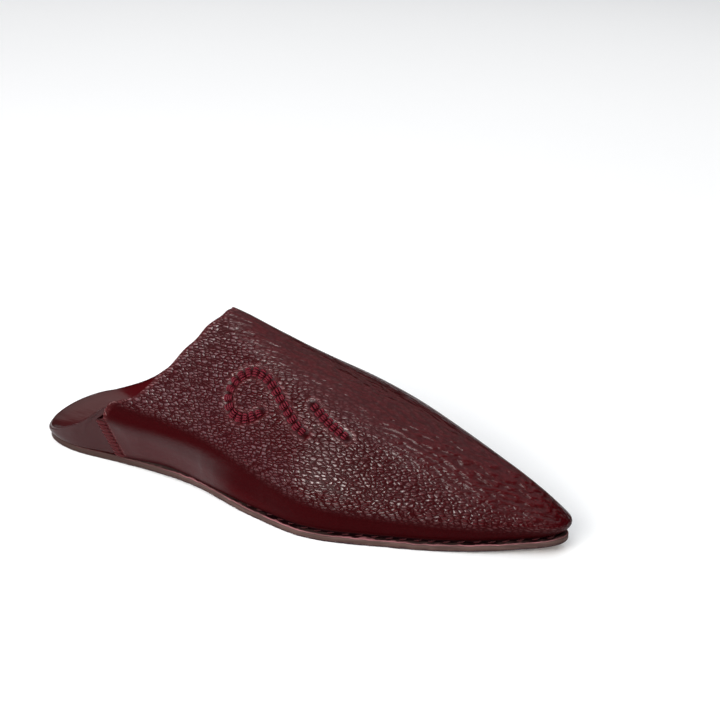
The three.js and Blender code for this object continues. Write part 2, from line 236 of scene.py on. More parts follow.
towards = direction(AZIMUTH, ELEVATION)
look = towards.to_track_quat("Z", "Y").to_matrix()
look = look @ Matrix.Rotation(YAW, 3, "Y") @ Matrix.Rotation(PITCH, 3, "X")
place = (towards * DISTANCE + Vector(SHIFT)) * MM
camera.matrix_world = Matrix.Translation(place) @ look.to_4x4()
print("camera at", [round(v, 4) for v in camera.location])

# %% [markdown]
# ## From points to a sheet of leather
#
# Leather is a sheet, so most pieces are a grid of points. A subdivided cage could be shaped by hand,
# but a dense grid that is worked out from the pattern follows it exactly. It can also carry masks:
# numbers at its points that tell a material where the leather is grained, where it is rubbed or gets a
# painted highlight, and where it gets painted shade. Each piece rides on the slipper's one body and
# names the solid that it takes the place of.


# %% Sheets
def sheet_normals(grid):
    """Normals of a grid of points, square to its rows and columns."""
    return unit(np.cross(np.gradient(grid, axis=0), np.gradient(grid, axis=1)))


# %% A piece from its points
WELD = 1e-6


def make_piece(name, points, faces, slot_name, nodes=(), uv=None, face_materials=None,
               masks=None, weld=False):
    """A piece from points in pattern millimetres, riding on the slipper's one body."""
    mesh = bpy.data.meshes.new(name)
    placed = (np.asarray(points, float).reshape(-1, 3) + SHIFT) * MM
    mesh.from_pydata(placed.tolist(), [], [list(map(int, face)) for face in faces])
    for mask, values in (masks or {}).items():
        layer = mesh.attributes.new(mask, "FLOAT", "POINT")
        layer.data.foreach_set("value", np.asarray(values, np.float32).ravel())
    if uv is not None:
        corners = np.empty(len(mesh.loops), np.int32)
        mesh.loops.foreach_get("vertex_index", corners)
        layer = mesh.uv_layers.new(name="thread")
        layer.data.foreach_set("uv", np.asarray(uv, float).reshape(-1, 2)[corners].ravel())
    if face_materials is not None:
        mesh.polygons.foreach_set("material_index", np.asarray(face_materials, np.int32))
    if weld:
        welded = bmesh.new()
        welded.from_mesh(mesh)
        bmesh.ops.remove_doubles(welded, verts=welded.verts, dist=WELD)
        welded.to_mesh(mesh)
        welded.free()
    mesh.shade_smooth()
    piece = bpy.data.objects.new(name, mesh)
    bpy.context.scene.collection.objects.link(piece)
    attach(piece, "root")
    if nodes:
        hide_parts(*nodes)
    triangles = sum(len(p.vertices) - 2 for p in mesh.polygons)
    print(f"{name}: {len(mesh.vertices)} points, {triangles} triangles")
    return piece


# %% Faces of a grid
def grid_faces(rows, columns, start=0):
    """Quads of a grid whose points are numbered row by row."""
    i, j = np.meshgrid(np.arange(rows - 1), np.arange(columns - 1), indexing="ij")
    a = (start + i * columns + j).ravel()
    return np.stack([a, a + columns, a + columns + 1, a + 1], -1)


# %% [markdown]
# ## The sole
#
# The sole of a babouche is one thin piece of cattle hide, cut with a knife, so its edge is a little
# uneven and its layers show: a dark bottom, which is painted shade on the bevel that faces down, a raw
# brown middle and a stained upper line. It could be an extruded curve, but rings of points around the
# outline let the edge roll and waver. The inner ply, painted near black as shade for the channel, and
# the leather sock inside are made by the same function.

# %% Plies of the sole
EDGE, BOTTOM, TOP = 0, 1, 2
WAVER_RATE, SIDES_APART = 31, 7.0


def make_ply(name, rings, start, steps, waver=0.0, **piece):
    """A flat ply from rings of (inset, height over the lift), from its bottom to its top."""
    turns = np.linspace(start, math.pi, steps)
    loops = []
    for inset, height in rings:
        sides = []
        for side in (-1, 1):
            seeds = [Vector((t * WAVER_RATE, side * SIDES_APART, inset)) for t in turns]
            wave = np.array([noise.noise(seed) for seed in seeds])
            p = inside(turns, side, inset + waver * wave * np.sin(turns))
            z = lift(p[:, 0]) + (height(p[:, 0]) if callable(height) else height)
            sides.append(np.column_stack([p, z]))
        back = sides[1][::-1][1:] if start > 0 else sides[1][::-1][1:-1]
        loops.append(np.concatenate([sides[0], back]))
    count = len(loops[0])
    faces, kinds = [], []
    for r in range(len(rings) - 1):
        for k in range(count):
            n = (k + 1) % count
            faces.append((r * count + k, r * count + n, (r + 1) * count + n, (r + 1) * count + k))
            kinds.append(EDGE)
    top_start = (len(rings) - 1) * count
    across = [(count - k - (start > 0)) % count for k in range(steps)]
    for k in range(steps - 1):
        strip = list(dict.fromkeys((k, k + 1, across[k + 1], across[k])))
        faces += [strip[::-1], [top_start + v for v in strip]]
        kinds += [BOTTOM, TOP]
    layer = np.repeat(np.linspace(0, 1, len(rings)), count)
    return make_piece(
        name, np.array(loops), faces, masks={"layer": layer}, face_materials=kinds, **piece)


# %% Outsole, midsole and insole
SOLE_RINGS = [
    (3.0, 0.0), (0.62, 0.0), (0.3, 0.1), (0.1, 0.32), (0.0, 0.6), (0.0, 1.1), (0.04, 1.7),
    (0.02, 2.3), (0.08, 2.75), (0.2, 3.0), (0.42, 3.14), (0.8, 3.2), (3.4, 3.2),
]
SOLE_WAVER, SOLE_STEPS, PLY_STEPS = 0.22, 301, 161
SOCK_ROUND, SOCK_RIM = 0.3, 3
outsole = make_ply(
    "outsole_leather", SOLE_RINGS, 0, SOLE_STEPS, waver=SOLE_WAVER, nodes=["outsole"],
    slot_name="sole_leather")
midsole = make_ply(
    "midsole_ply", [(MIDSOLE_INSET, BED_LOW), (MIDSOLE_INSET, BED_LOW + MIDSOLE_THICKNESS)],
    float(turn_at(MIDSOLE_BACK)), PLY_STEPS, nodes=["midsole"], slot_name="dark_ply")
insole = make_ply(
    "insole_sock",
    [(INSOLE_INSET, bed), (INSOLE_INSET, lambda x: bed(x) + INSOLE_THICKNESS - SOCK_ROUND),
     (INSOLE_INSET + SOCK_ROUND, lambda x: bed(x) + INSOLE_THICKNESS),
     (INSOLE_INSET + SOCK_RIM, lambda x: bed(x) + INSOLE_THICKNESS)],
    0, PLY_STEPS, nodes=["insole"], slot_name="lining_leather")


# %% [markdown]
# ## The shape of the vamp
#
# The front is one piece of leather. At the back it stands like a tent: upright walls, a soft shoulder
# and two flat sides that meet in a round ridge. Towards the toe the shoulder melts away into a smooth
# dome. It could be sculpted, but sections keep both sides fair: each is a wall below and a curve
# above, and its few sizes come from a table. Its columns say how far in from the sole's edge the wall
# has its foot, how much it swells, how high its shoulder is, how far in it leans there, how sharply
# it turns into the roof, how high the ridge is, and how broad its round is. At the waist the foot of
# the wall gapes a little.

# %% The vamp's sections
WAIST_GAPE = {"middle": -52.0, "reach": 22.0, "height": 1.25}
ROOF_HANDLE, SOFT_TURN, JUST_BELOW = 0.36, 0.25, 0.96
SECTIONS = table(
    "x foot swell shoulder lean crease crown broad",
    (-95, 0.7, 0.4, 31, 0.9, 0.75, 82, 0.2),
    (-60, 0.7, 0.4, 30, 1.2, 0.75, 82, 0.2),
    (-32, 0.8, 0.6, 27, 1.6, 0.7, 79, 0.2),
    (-5, 1.2, 0.9, 27, 3.0, 0.5, 71.2, 0.28),
    (20, 1.8, 1.6, 27, 4.2, 0.1, 63.8, 0.32),
    (50, 2.0, 2.0, 26, 4.8, 0, 55.4, 0.36),
    (80, 2.0, 2.2, 23, 4.6, 0, 45.1, 0.38),
    (110, 1.8, 2.4, 19, 2.4, 0.2, 33.2, 0.36),
    (128, 1.7, 2.2, 16.5, 0.2, 0.45, 22, 0.3),
    (135, 1.6, 1.8, 15.5, -0.8, 0.55, 17, 0.3),
)
FAN = table("x ridge", (-95, -95), (40, 40), (80, 75), (115, 97), (135, 106))
COLLAR = table(
    "roof x", (0, -84.2), (0.03, -79), (0.065, -73.2), (0.13, -68.4), (0.28, -59.2), (0.5, -48.2),
    (0.75, -38.2), (1, -32))
SEAM = {"foot": -76.4, "top": -89.3, "height": 20.3, "half_width": 1.55}
WING_TIP = table("z x", (20.3, -87.4), (24, -87.2), (27.5, -85.8), (31, -84))
print("ridge from", SECTIONS["crown"][0], "mm at the back to", SECTIONS["crown"][-1], "mm at the toe")


# %% Walls and roof
def form_at(x):
    """The sizes of the vamp's section at a place along it."""
    return {name: smooth(SECTIONS, "x", name, x) for name in SECTIONS if name != "x"}


def seam_middle(z):
    """How far along the middle of the side seam is, at a height."""
    return mix(SEAM["foot"], SEAM["top"], z / SEAM["height"])


def foot_height(x):
    """Height of the foot of the wall."""
    slack = np.maximum(1 - ((x - WAIST_GAPE["middle"]) / WAIST_GAPE["reach"]) ** 2, 0)
    return lift(x) + bed(x) + WAIST_GAPE["height"] * slack**2


def wall(turn, side, rise, shoulder, form):
    """A point of a side wall: rise is 0 at its foot and 1 at its top."""
    inset = mix(form["foot"], form["lean"], rise**2) - form["swell"] * 4 * rise * (1 - rise)
    p = inside(turn, side, inset)
    return np.concatenate([p, mix(foot_height(p[..., 0]), shoulder, rise)[..., None]], -1)


def roof(turn, side, share):
    """A point over the shoulder: share is 0 at the shoulder and 1 at the ridge."""
    x = along_at(turn)
    form = form_at(x)
    shoulder = wall(turn, side, np.ones_like(turn), form["shoulder"], form)
    below = wall(turn, side, np.full_like(turn, JUST_BELOW), form["shoulder"], form)
    ridge_x = smooth(FAN, "x", "ridge", x)
    ridge = np.stack([ridge_x, 0 * x, form_at(ridge_x)["crown"]], -1)
    slope = (form_at(ridge_x + 1)["crown"] - form_at(ridge_x - 1)["crown"]) / 2
    outward = (shoulder - ridge) * (1, 1, 0)
    reach = np.linalg.norm(outward, axis=-1, keepdims=True)
    outward = outward / np.maximum(reach, 1e-9)
    chord = ridge - shoulder
    turned = mix(unit(shoulder - below), unit(chord), mix(SOFT_TURN, 1, form["crease"])[..., None])
    first = shoulder + unit(turned) * ROOF_HANDLE * np.linalg.norm(chord, axis=-1, keepdims=True)
    handle = form["broad"][..., None] * reach
    second = ridge + outward * handle
    second[..., 2] += slope * outward[..., 0] * handle[..., 0]
    return bent_curve(shoulder, first, second, ridge, share[..., None])


# %% [markdown]
# ## The grid of the vamp
#
# A real vamp is cut flat and pulled over the last. Here its sheet is a grid that runs from the foot of
# the outer wall over the ridge to the foot of the inner wall, and from the collar to the toe, where
# the two halves close on each other. Its first row follows the side seam, the wing above it and the
# collar, so that the free edge needs no cutting. The rows crowd a little towards the collar.

# %% The vamp's grid
VAMP_ROWS, WALL_COLUMNS, ROOF_COLUMNS, CROWDED = 291, 20, 96, 0.95


def vamp_half(side):
    """One side of the vamp, from its foot to the ridge."""
    rises = np.concatenate([np.linspace(0, 1, WALL_COLUMNS), np.ones(ROOF_COLUMNS)])
    shares = np.concatenate([np.zeros(WALL_COLUMNS), np.linspace(0, 1, ROOF_COLUMNS + 1)[1:]])
    z = mix(foot_height(SEAM["foot"]), form_at(np.array(SEAM["top"]))["shoulder"], rises)
    seam = seam_middle(z) + SEAM["half_width"] + GAP
    wing = np.where(z > SEAM["height"], smooth(WING_TIP, "z", "x", z), seam)
    back = np.where(shares > 0, smooth(COLLAR, "roof", "x", shares), wing)
    rows = np.linspace(0, 1, VAMP_ROWS)[:, None] ** CROWDED
    turn = mix(turn_at(back)[None, :], math.pi, rows)
    form = form_at(along_at(turn))
    low = wall(turn, side, np.broadcast_to(rises, turn.shape), form["shoulder"], form)
    high = roof(turn, side, np.broadcast_to(shares, turn.shape))
    return np.where((shares > 0)[None, :, None], high, low)


outer_half, inner_half = vamp_half(-1), vamp_half(1)
vamp_grid = np.concatenate([outer_half, inner_half[:, ::-1][:, 1:]], axis=1)
print("vamp grid:", vamp_grid.shape)

# %% [markdown]
# ## Shoulder and collar
#
# Real leather turns a corner in a small round, not in a line, and the free edge of the collar waves a
# little between the places where it was pulled over the last. A Bevel would make one even round.
# Averaging the points near the shoulder with their neighbours makes a softer one, and a short table
# moves the edge to and fro.

# %% Round the shoulder
SHOULDER_PASSES, SHOULDER_SPREAD, SHOULDER_PULL = 12, 4.0, (0, 0.6, 0.6)

columns = np.arange(vamp_grid.shape[1])
mirrored = np.minimum(columns, columns[::-1])
near_shoulder = np.exp(-(((mirrored - WALL_COLUMNS) / SHOULDER_SPREAD) ** 2))[None, :, None]
for _ in range(SHOULDER_PASSES):
    middle = (vamp_grid[:, :-2] + vamp_grid[:, 2:]) / 2
    pull = near_shoulder[:, 1:-1] * SHOULDER_PULL
    vamp_grid[:, 1:-1] += pull * (middle - vamp_grid[:, 1:-1])
print("shoulder rounded in", SHOULDER_PASSES, "passes")

# %% Wave the collar
COLLAR_WAVE = table(
    "roof shift",
    (0, 0), (0.16, 0.2), (0.27, -0.5), (0.33, 0.5), (0.45, -0.2), (0.55, 0.5),
    (0.66, -0.5), (0.8, 0.5), (0.9, -0.1), (1, 0))
COLLAR_WAVE_REACH = 14

roof_share = np.clip((mirrored - WALL_COLUMNS + 1) / ROOF_COLUMNS, 0, 1)
from_collar = np.linspace(0, 1, VAMP_ROWS)[:, None] * (VAMP_ROWS - 1)
edge_shift = smooth(COLLAR_WAVE, "roof", "shift", roof_share)
edge_shift = edge_shift * (1 - ease(0, COLLAR_WAVE_REACH, from_collar))
vamp_grid += edge_shift[..., None] * unit(np.gradient(vamp_grid, axis=0))
vamp_normals = sheet_normals(vamp_grid)
vamp_normals[-1] = unit((vamp_normals[-1] + vamp_normals[-1, ::-1]) * (1, 0, 1))
print("vamp spans, mm:", vamp_grid.min((0, 1)).round(1), vamp_grid.max((0, 1)).round(1))

# %% [markdown]
# ## The lines drawn on the vamp
#
# The embroidered curl and the creases are given as a few places, each how far along and how high it
# lies on the outer side. A smooth line runs through them, and a ray shot from the side finds where
# each place meets the leather. A curve with a Shrinkwrap could do the same, but rays give the
# leather's normals too, and the thread needs those.

# %% A line through a few places
FINE_STEPS = 40


def line_through(points, count):
    """Evenly spaced places on a smooth line through a few hand-set ones."""
    points = np.array(points, float)
    rows = {"run": run_along(points)}
    rows |= {axis: points[:, axis] for axis in range(points.shape[1])}
    fine = np.linspace(0, rows["run"][-1], FINE_STEPS * len(points))
    path = np.stack([smooth(rows, "run", axis, fine) for axis in range(points.shape[1])], -1)
    lengths = run_along(path)
    return read_rows(np.linspace(0, lengths[-1], count), lengths, path)


# %% Places put on the leather
RAY_START = 200


def tree_of(grid):
    """A grid made ready for rays and for the nearest place on it."""
    faces = grid_faces(*grid.shape[:2])
    return BVHTree.FromPolygons(grid.reshape(-1, 3).tolist(), faces.tolist())


vamp_tree = tree_of(vamp_grid)


def on_vamp(places):
    """The places (x, z) put on the outer side of the leather, with its normals there."""
    found = []
    for x, z in places:
        point, normal, _, _ = vamp_tree.ray_cast(Vector((x, -RAY_START, z)), Vector((0, 1, 0)))
        if normal.y > 0:
            normal = -normal
        found.append((point, normal))
    return np.array([p for p, _ in found]), np.array([n for _, n in found])


# %% Distance to a line
SEARCH_MARGIN, FAR_OFF = 14, 1e9


def distance_to(points, path):
    """Distance of each point to a path of points, and how far along it, from 0 to 1, that is."""
    flat = points.reshape(-1, 3)
    best = np.full(len(flat), FAR_OFF)
    along = np.zeros(len(flat))
    low, high = path.min(0) - SEARCH_MARGIN, path.max(0) + SEARCH_MARGIN
    near = np.nonzero(((flat > low) & (flat < high)).all(1))[0]
    for k in range(len(path) - 1):
        step = path[k + 1] - path[k]
        t = np.clip((flat[near] - path[k]) @ step / (step @ step), 0, 1)
        gap = np.linalg.norm(flat[near] - path[k] - t[:, None] * step, axis=1)
        closer = gap < best[near]
        best[near[closer]] = gap[closer]
        along[near[closer]] = (k + t[closer]) / (len(path) - 1)
    return best.reshape(points.shape[:-1]), along.reshape(points.shape[:-1])


def fade_out(along):
    """1 at the middle of a line, and 0 at both its ends."""
    return np.sqrt(np.clip(4 * along * (1 - along), 0, 1))


# %% The lines of the curl and the dash
CURL = [
    (-2.2, 44.8), (-8.4, 40.9), (-14.3, 39.8), (-19.2, 41.9), (-21.8, 46.9), (-19.6, 53.4),
    (-13.6, 57.8), (-6.5, 57.6), (0.4, 54.2), (6.3, 50.1), (12.6, 46.2), (17.8, 43.2), (22.1, 41.6),
]
DASH = [(21, 51.8), (27.1, 48.7), (34.1, 45.5), (41, 42.6)]
CURL_PLACES, DASH_PLACES = 200, 60
curl_path, curl_normals = on_vamp(line_through(CURL, CURL_PLACES))
dash_path, dash_normals = on_vamp(line_through(DASH, DASH_PLACES))
print("curl and dash, mm:", run_along(curl_path)[-1].round(1), run_along(dash_path)[-1].round(1))

# %% [markdown]
# ## Creases and puckers
#
# The tight thread sinks into the leather and raises a lip on both sides of the stitches. Wear has
# left a few soft creases. Simulating a worn shoe would be slow and hard to steer, so each crease is
# given as a line with a depth and a width, and the leather is moved along its own normals.
# A negative depth is a trough and a positive one is a ridge. The lips are broken into small pebbles,
# and a slow wave keeps the broad faces from looking pressed.

# %% Creases of the vamp
CREASES = [
    (-0.32, 0.9, [(22.6, 41.2), (25, 43), (28, 43.8), (33, 43.2)]),
    (0.14, 0.9, [(23.5, 44), (27, 45.4), (32, 45.2)]),
    (0.12, 0.9, [(11.5, 50), (15, 51.4), (19.5, 50.8)]),
    (0.13, 0.8, [(14.5, 47.6), (18.5, 48.6), (23.5, 47.6)]),
    (0.12, 0.8, [(18, 45.3), (22, 46.2), (27, 45)]),
    (-0.15, 0.6, [(-18, 36.2), (-17, 33.6), (-16.2, 31)]),
    (-0.7, 7, [(-66, 16), (-48, 13), (-30, 13)]),
    (-0.5, 6, [(-20, 20), (-6, 15), (8, 14)]),
    (0.45, 6, [(-24, 12), (-8, 9), (10, 9)]),
]
SHOULDER_LINE = table(
    "x z strength", (-95, 32, 1), (-84, 31.3, 1), (-69, 30.2, 1), (-52, 29, 1), (-36, 27, 0.95),
    (-19, 26, 0.75), (-6, 26, 0.45), (8, 27, 0))
SHOULDER_FORM = table(
    "above out", (-26, 0), (-17, 0.75), (-11.5, 1.25), (-8, 0.75), (-4, -0.25), (-1, -0.85),
    (2, -0.95), (10, -0.65), (24, 0))
print("creases:", len(CREASES))

# %% Press the creases and the thread into the leather
SEAM_CLEAR, SEAM_KEEP, HOLLOW_AT_SEAM, STEPS_EACH = 2, 12.0, 0.45, 12
THREAD_TROUGH, TROUGH_HALF, LIP_PLACE, LIP_WIDTH = 0.5, 2.3, 3.2, 0.7

above = vamp_grid[..., 2] - smooth(SHOULDER_LINE, "x", "z", vamp_grid[..., 0])
relief = smooth(SHOULDER_FORM, "above", "out", above)
relief *= smooth(SHOULDER_LINE, "x", "strength", vamp_grid[..., 0])
from_seam = vamp_grid[..., 0] - seam_middle(vamp_grid[..., 2]) - SEAM_CLEAR
past_seam = ease(0, SEAM_KEEP, from_seam)
relief = np.where(relief > 0, relief * past_seam, relief * mix(HOLLOW_AT_SEAM, 1, past_seam))
for depth, width, places in CREASES:
    path, _ = on_vamp(line_through(places, STEPS_EACH * len(places)))
    gap, along = distance_to(vamp_grid, path)
    relief += depth * fade_out(along) * np.exp(-((gap / width) ** 2))
under_thread, lips = np.zeros(vamp_grid.shape[:2]), np.zeros(vamp_grid.shape[:2])
for path in (curl_path, dash_path):
    gap, _ = distance_to(vamp_grid, path)
    trough = np.exp(-((gap / TROUGH_HALF) ** 4))
    lips = np.maximum(lips, np.exp(-(((gap - LIP_PLACE) / LIP_WIDTH) ** 2)))
    relief -= THREAD_TROUGH * trough
    under_thread = np.maximum(under_thread, trough)
print("pressed by thread, points:", int((under_thread > 0.5).sum()))

# %% The soft wave and the pebbled lips
SOFT_WAVE, SOFT_WAVE_RATE, TOE_FADE = 0.14, (0.05, 0.09, 0.09), 12
LIP_HEIGHT, LIP_PEBBLE, LIP_LEAST, LIP_BASE, LIP_VARIES = 0.42, 0.5, 0.02, 0.25, 1.5

for i in range(VAMP_ROWS):
    for j in range(vamp_grid.shape[1]):
        relief[i, j] += SOFT_WAVE * noise.noise(Vector(vamp_grid[i, j] * SOFT_WAVE_RATE))
        if lips[i, j] > LIP_LEAST:
            pebble = noise.noise(Vector(vamp_grid[i, j] * LIP_PEBBLE))
            relief[i, j] += LIP_HEIGHT * lips[i, j] * max(LIP_BASE + LIP_VARIES * pebble, 0)
relief *= 1 - ease(VAMP_ROWS - TOE_FADE, VAMP_ROWS - 1, np.arange(VAMP_ROWS))[:, None]
vamp_skin = vamp_grid + vamp_normals * relief[..., None]
print("relief, mm:", relief.min().round(2), "to", relief.max().round(2))

# %% [markdown]
# ## Masks of the vamp
#
# The grain is strongest on the roof, finer along the ridge and almost gone on the upright walls,
# where the leather was stretched over the last. Weights could be painted by hand, but masks worked
# out from heights and distances stay right when the shape changes. One gives the grain and one the
# gloss of the glaze. Others mark painted shade: under the thread, at the foot of the wall, where it is
# a painted shadow with some dark wax, and on the upright walls and the band under the shoulder, where
# less light falls. One marks what is pale: rubbed at the collar, and a painted highlight on the lips.
# The last says where ripples run.

# %% Masks of the vamp
GRAIN_EDGE = table(
    "x z", (-95, 30), (-72, 28), (-46, 26), (-16, 22.5), (18, 17), (50, 13), (90, 11), (135, 11))
GRAIN_TOP = table(
    "x z", (-95, 92), (-45, 84), (-22, 70), (6, 60), (28, 54), (44, 48), (64, 38.5), (82, 30.5),
    (101, 22.5), (118, 18), (135, 15))
GRAIN_SOFTNESS, GRAIN_ON_WALL, GRAIN_ON_TOP, TOP_SOFTNESS = 3.0, 0.16, 0.3, 7.0
RUBBED_REACH, FOOT_SHADOW_AND_WAX = 3.0, (0.4, 1.9)
GLAZE_ON_WALL, GLAZE_ON_RIDGE, GLAZED_HEEL, GLAZE_TOP = 0.56, 0.37, (-34, -6), (18, 23)
WALL_ENDS, WALL_SHADE_MOST, WALL_SHADE_LOW = (0, 5), (-13, -7), 0.6

above_edge = vamp_grid[..., 2] - smooth(GRAIN_EDGE, "x", "z", vamp_grid[..., 0])
grain = mix(GRAIN_ON_WALL, 1, ease(-GRAIN_SOFTNESS, GRAIN_SOFTNESS, above_edge))
above_top = vamp_grid[..., 2] - smooth(GRAIN_TOP, "x", "z", vamp_grid[..., 0])
smoothed = ease(-TOP_SOFTNESS, TOP_SOFTNESS, above_top)
grain *= mix(1, GRAIN_ON_TOP, smoothed) * (1 - under_thread)
# Pale where the collar is rubbed, which is wear, and on the lips beside the thread, which is a painted
# highlight.
rubbed_and_lip_highlight = np.maximum(1 - ease(0, RUBBED_REACH, from_collar), lips)
on_roof = ease(*WALL_ENDS, above_edge)
# Painted shade on the upright walls, darkest in the band under the shoulder, where less light falls.
wall_shade = (1 - on_roof) * mix(WALL_SHADE_LOW, 1, ease(*WALL_SHADE_MOST, above_edge))
low_wall = (1 - ease(*GLAZED_HEEL, vamp_grid[..., 0])) * (1 - ease(*GLAZE_TOP, vamp_grid[..., 2]))
glaze = mix(GLAZE_ON_WALL * low_wall, 1, on_roof)
glaze *= mix(1, GLAZE_ON_RIDGE, smoothed) * (1 - under_thread * (1 - lips))
# A painted shadow along the foot of the wall, partly dark wax, with no glaze there. With the painted
# shade under the thread it makes one mask.
from_foot = vamp_grid[..., 2] - vamp_grid[:, :1, 2]
foot_shadow_and_wax = 1 - ease(*FOOT_SHADOW_AND_WAX, from_foot)
glaze *= 1 - foot_shadow_and_wax
thread_and_foot_shade = np.maximum(under_thread, foot_shadow_and_wax)
print("mean grain and glaze:", grain.mean().round(3), glaze.mean().round(3))

# %% [markdown]
# ## The vamp as a shell
#
# The leather has a real thickness. A Solidify modifier would give it one, but the inside needs far
# fewer points than the outside, so the shell is closed by hand: the grained skin outside, a round rim
# at the collar, the plain lining inside, and a narrow edge at the foot.

# %% Lining and rim
VAMP_WALL, LINING_STRIDE, RIM_STEPS = 1.4, 5, 6

inner_rows = list(range(0, VAMP_ROWS, LINING_STRIDE))
lining = (vamp_grid - vamp_normals * VAMP_WALL)[inner_rows]
for column in (0, -1):
    lining[:, column, 2] = vamp_grid[inner_rows, column, 2]
backwards = unit(vamp_skin[0] - vamp_skin[1])
rim = []
for k in range(1, RIM_STEPS):
    angle = math.pi * k / RIM_STEPS
    half = (vamp_skin[0] - lining[0]) / 2
    rim.append(lining[0] + half * (1 + math.cos(angle)) + backwards * VAMP_WALL / 2 * math.sin(angle))
print("lining rows:", len(inner_rows), "rim rows:", len(rim))

# %% Close the shell
TURNED_ROWS, OUTSIDE, LINED = 2, 0, 1

width = vamp_grid.shape[1]
shell = np.concatenate([vamp_skin[::-1], np.array(rim), lining])
outside, inside_start = VAMP_ROWS, VAMP_ROWS + len(rim)
faces = grid_faces(len(shell), width)[:, ::-1].tolist()
kinds = np.full(len(faces), OUTSIDE)
kinds[(inside_start + TURNED_ROWS) * (width - 1):] = LINED
for column, flip in ((0, 1), (width - 1, -1)):
    corner = [r * width + column for r in range(outside - 1, inside_start + 1)]
    faces.append(corner[::flip])
    for k in range(len(inner_rows) - 1):
        skin = [(outside - 1 - r) * width + column for r in range(inner_rows[k], inner_rows[k + 1] + 1)]
        back = [(inside_start + k + 1) * width + column, (inside_start + k) * width + column]
        faces.append((skin + back)[::flip])
kinds = np.concatenate([kinds, np.full(len(faces) - len(kinds), LINED)])
print("shell faces:", len(faces))


# %% The vamp
def on_shell(mask):
    """A mask of the vamp's grid, carried over the rim to the lining."""
    rim_mask = np.repeat(mask[:1], len(rim), axis=0)
    return np.concatenate([mask[::-1], rim_mask, mask[inner_rows]])


vamp_masks = {
    "grain": grain, "glaze": glaze, "thread_and_foot_shade": thread_and_foot_shade, "rubbed_and_lip_highlight": rubbed_and_lip_highlight, "wall_shade": wall_shade,
    "ripple": smoothed,
}
vamp = make_piece(
    "vamp_leather", shell, faces, nodes=["upper_vamp"], slot_name="grained_leather",
    face_materials=kinds, weld=True,
    masks={name: on_shell(mask) for name, mask in vamp_masks.items()})


# %% [markdown]
# ## The trodden back
#
# The quarter stands round the heel, folds over at its top and lies down inside the shoe, so the same
# glossy outer face that shows behind also shows on top of the flap. Cloth simulation could fold it,
# but then the fold's height would come from the solver and not from the pattern. Here each rib of the
# sheet climbs the wall, turns over in a small round and runs down to the free edge of the flap as one
# bent line.

# %% The fold and the edge of the quarter
QUARTER_TIP = table("z x", (20.6, -91), (23, -88.2), (26.2, -85.6))
FOLD_ROUND = 1.1
FOLD = table(
    "x height foot lean swell",
    (-131.5, 6.8, -0.2, 0.1, 0.7), (-127, 7.1, -0.2, 0, 0.8), (-120, 8.3, -0.2, -0.4, 0.8),
    (-107, 13.8, 0.1, -0.2, 0.5), (-98, 19.4, 0.4, 0.2, 0.4), (-88, 27.6, 0.7, 0.8, 0.4))
print("fold height, mm:", FOLD["height"][0], "at the heel to", FOLD["height"][-1], "at the seams")


def quarter_edge(z):
    """How far forward the quarter reaches, at a height."""
    straight = seam_middle(z) - SEAM["half_width"] - 3 * GAP
    return np.where(z > QUARTER_TIP["z"][0], smooth(QUARTER_TIP, "z", "x", z), straight)


# %% A rib of the quarter
FLAP = {"middle": -79.0, "corner": -86.0, "half_width": 20.0, "rise": 13.0}
FLAP_SPREAD, FLAP_CURL, FLAP_SETS_OFF, FLAP_COMES_IN, FLAP_HUMP = 1.1, 2.5, 0.3, 0.45, 0.12
TURN_PER_DROP, LEAST_TURN, MOST_TURN = 1.3, 0.1, 1.2
QUARTER_WALL = 1.1
FLAP_TOP = BED_LOW + INSOLE_THICKNESS + GAP + QUARTER_WALL
WALL_PLACES, FOLD_PLACES, FLAP_PLACES = 18, 10, 44


def quarter_rib(share, side):
    """One rib of the quarter: share is 0 at the middle of the heel and 1 at the seam."""
    rise = np.linspace(0, 1, WALL_PLACES)
    seam_top = FOLD["height"][-1] - FOLD_ROUND
    turn = turn_at(quarter_edge(mix(BED_LOW, seam_top, rise))) * share
    fold_x = along_at(turn_at(quarter_edge(np.array(seam_top))) * share)
    form = {name: smooth(FOLD, "x", name, fold_x) for name in ("height", "foot", "lean", "swell")}
    up = wall(turn, side, rise, form["height"] - FOLD_ROUND, form)
    spread = share**FLAP_SPREAD
    end = np.array([
        mix(FLAP["middle"], FLAP["corner"], spread**2),
        side * FLAP["half_width"] * spread,
        lift(np.array(FLAP["middle"])) + FLAP_TOP + FLAP["rise"] * spread**FLAP_CURL,
    ])
    across = (end - up[-1]) * (1, 1, 0)
    reach = np.linalg.norm(across)
    across = across / reach
    drop = math.atan2(up[-1, 2] - end[2], reach)
    sweep = math.pi / 2 + min(TURN_PER_DROP * drop + LEAST_TURN, MOST_TURN)
    angle = np.linspace(0, sweep, FOLD_PLACES + 1)[1:, None]
    over = up[-1] + across * FOLD_ROUND * (1 - np.cos(angle)) + (0, 0, FOLD_ROUND) * np.sin(angle)
    length = np.linalg.norm(end - over[-1])
    down = across * math.sin(sweep) + (0, 0, math.cos(sweep))
    first = over[-1] + down * FLAP_SETS_OFF * length
    second = end - across * FLAP_COMES_IN * length + (0, 0, FLAP_HUMP * (over[-1, 2] - end[2]))
    places = np.linspace(0, 1, FLAP_PLACES + 1)[1:, None]
    flap = bent_curve(over[-1], first, second, end, places)
    return np.concatenate([up, over, flap])


# %% The quarter's sheet
QUARTER_RIBS = 181

quarter_shares = np.linspace(-1, 1, QUARTER_RIBS)
quarter_grid = np.array([quarter_rib(abs(s), -1 if s > 0 else 1) for s in quarter_shares])
quarter_normals = sheet_normals(quarter_grid)
print("quarter spans, mm:", quarter_grid.min((0, 1)).round(1), quarter_grid.max((0, 1)).round(1))
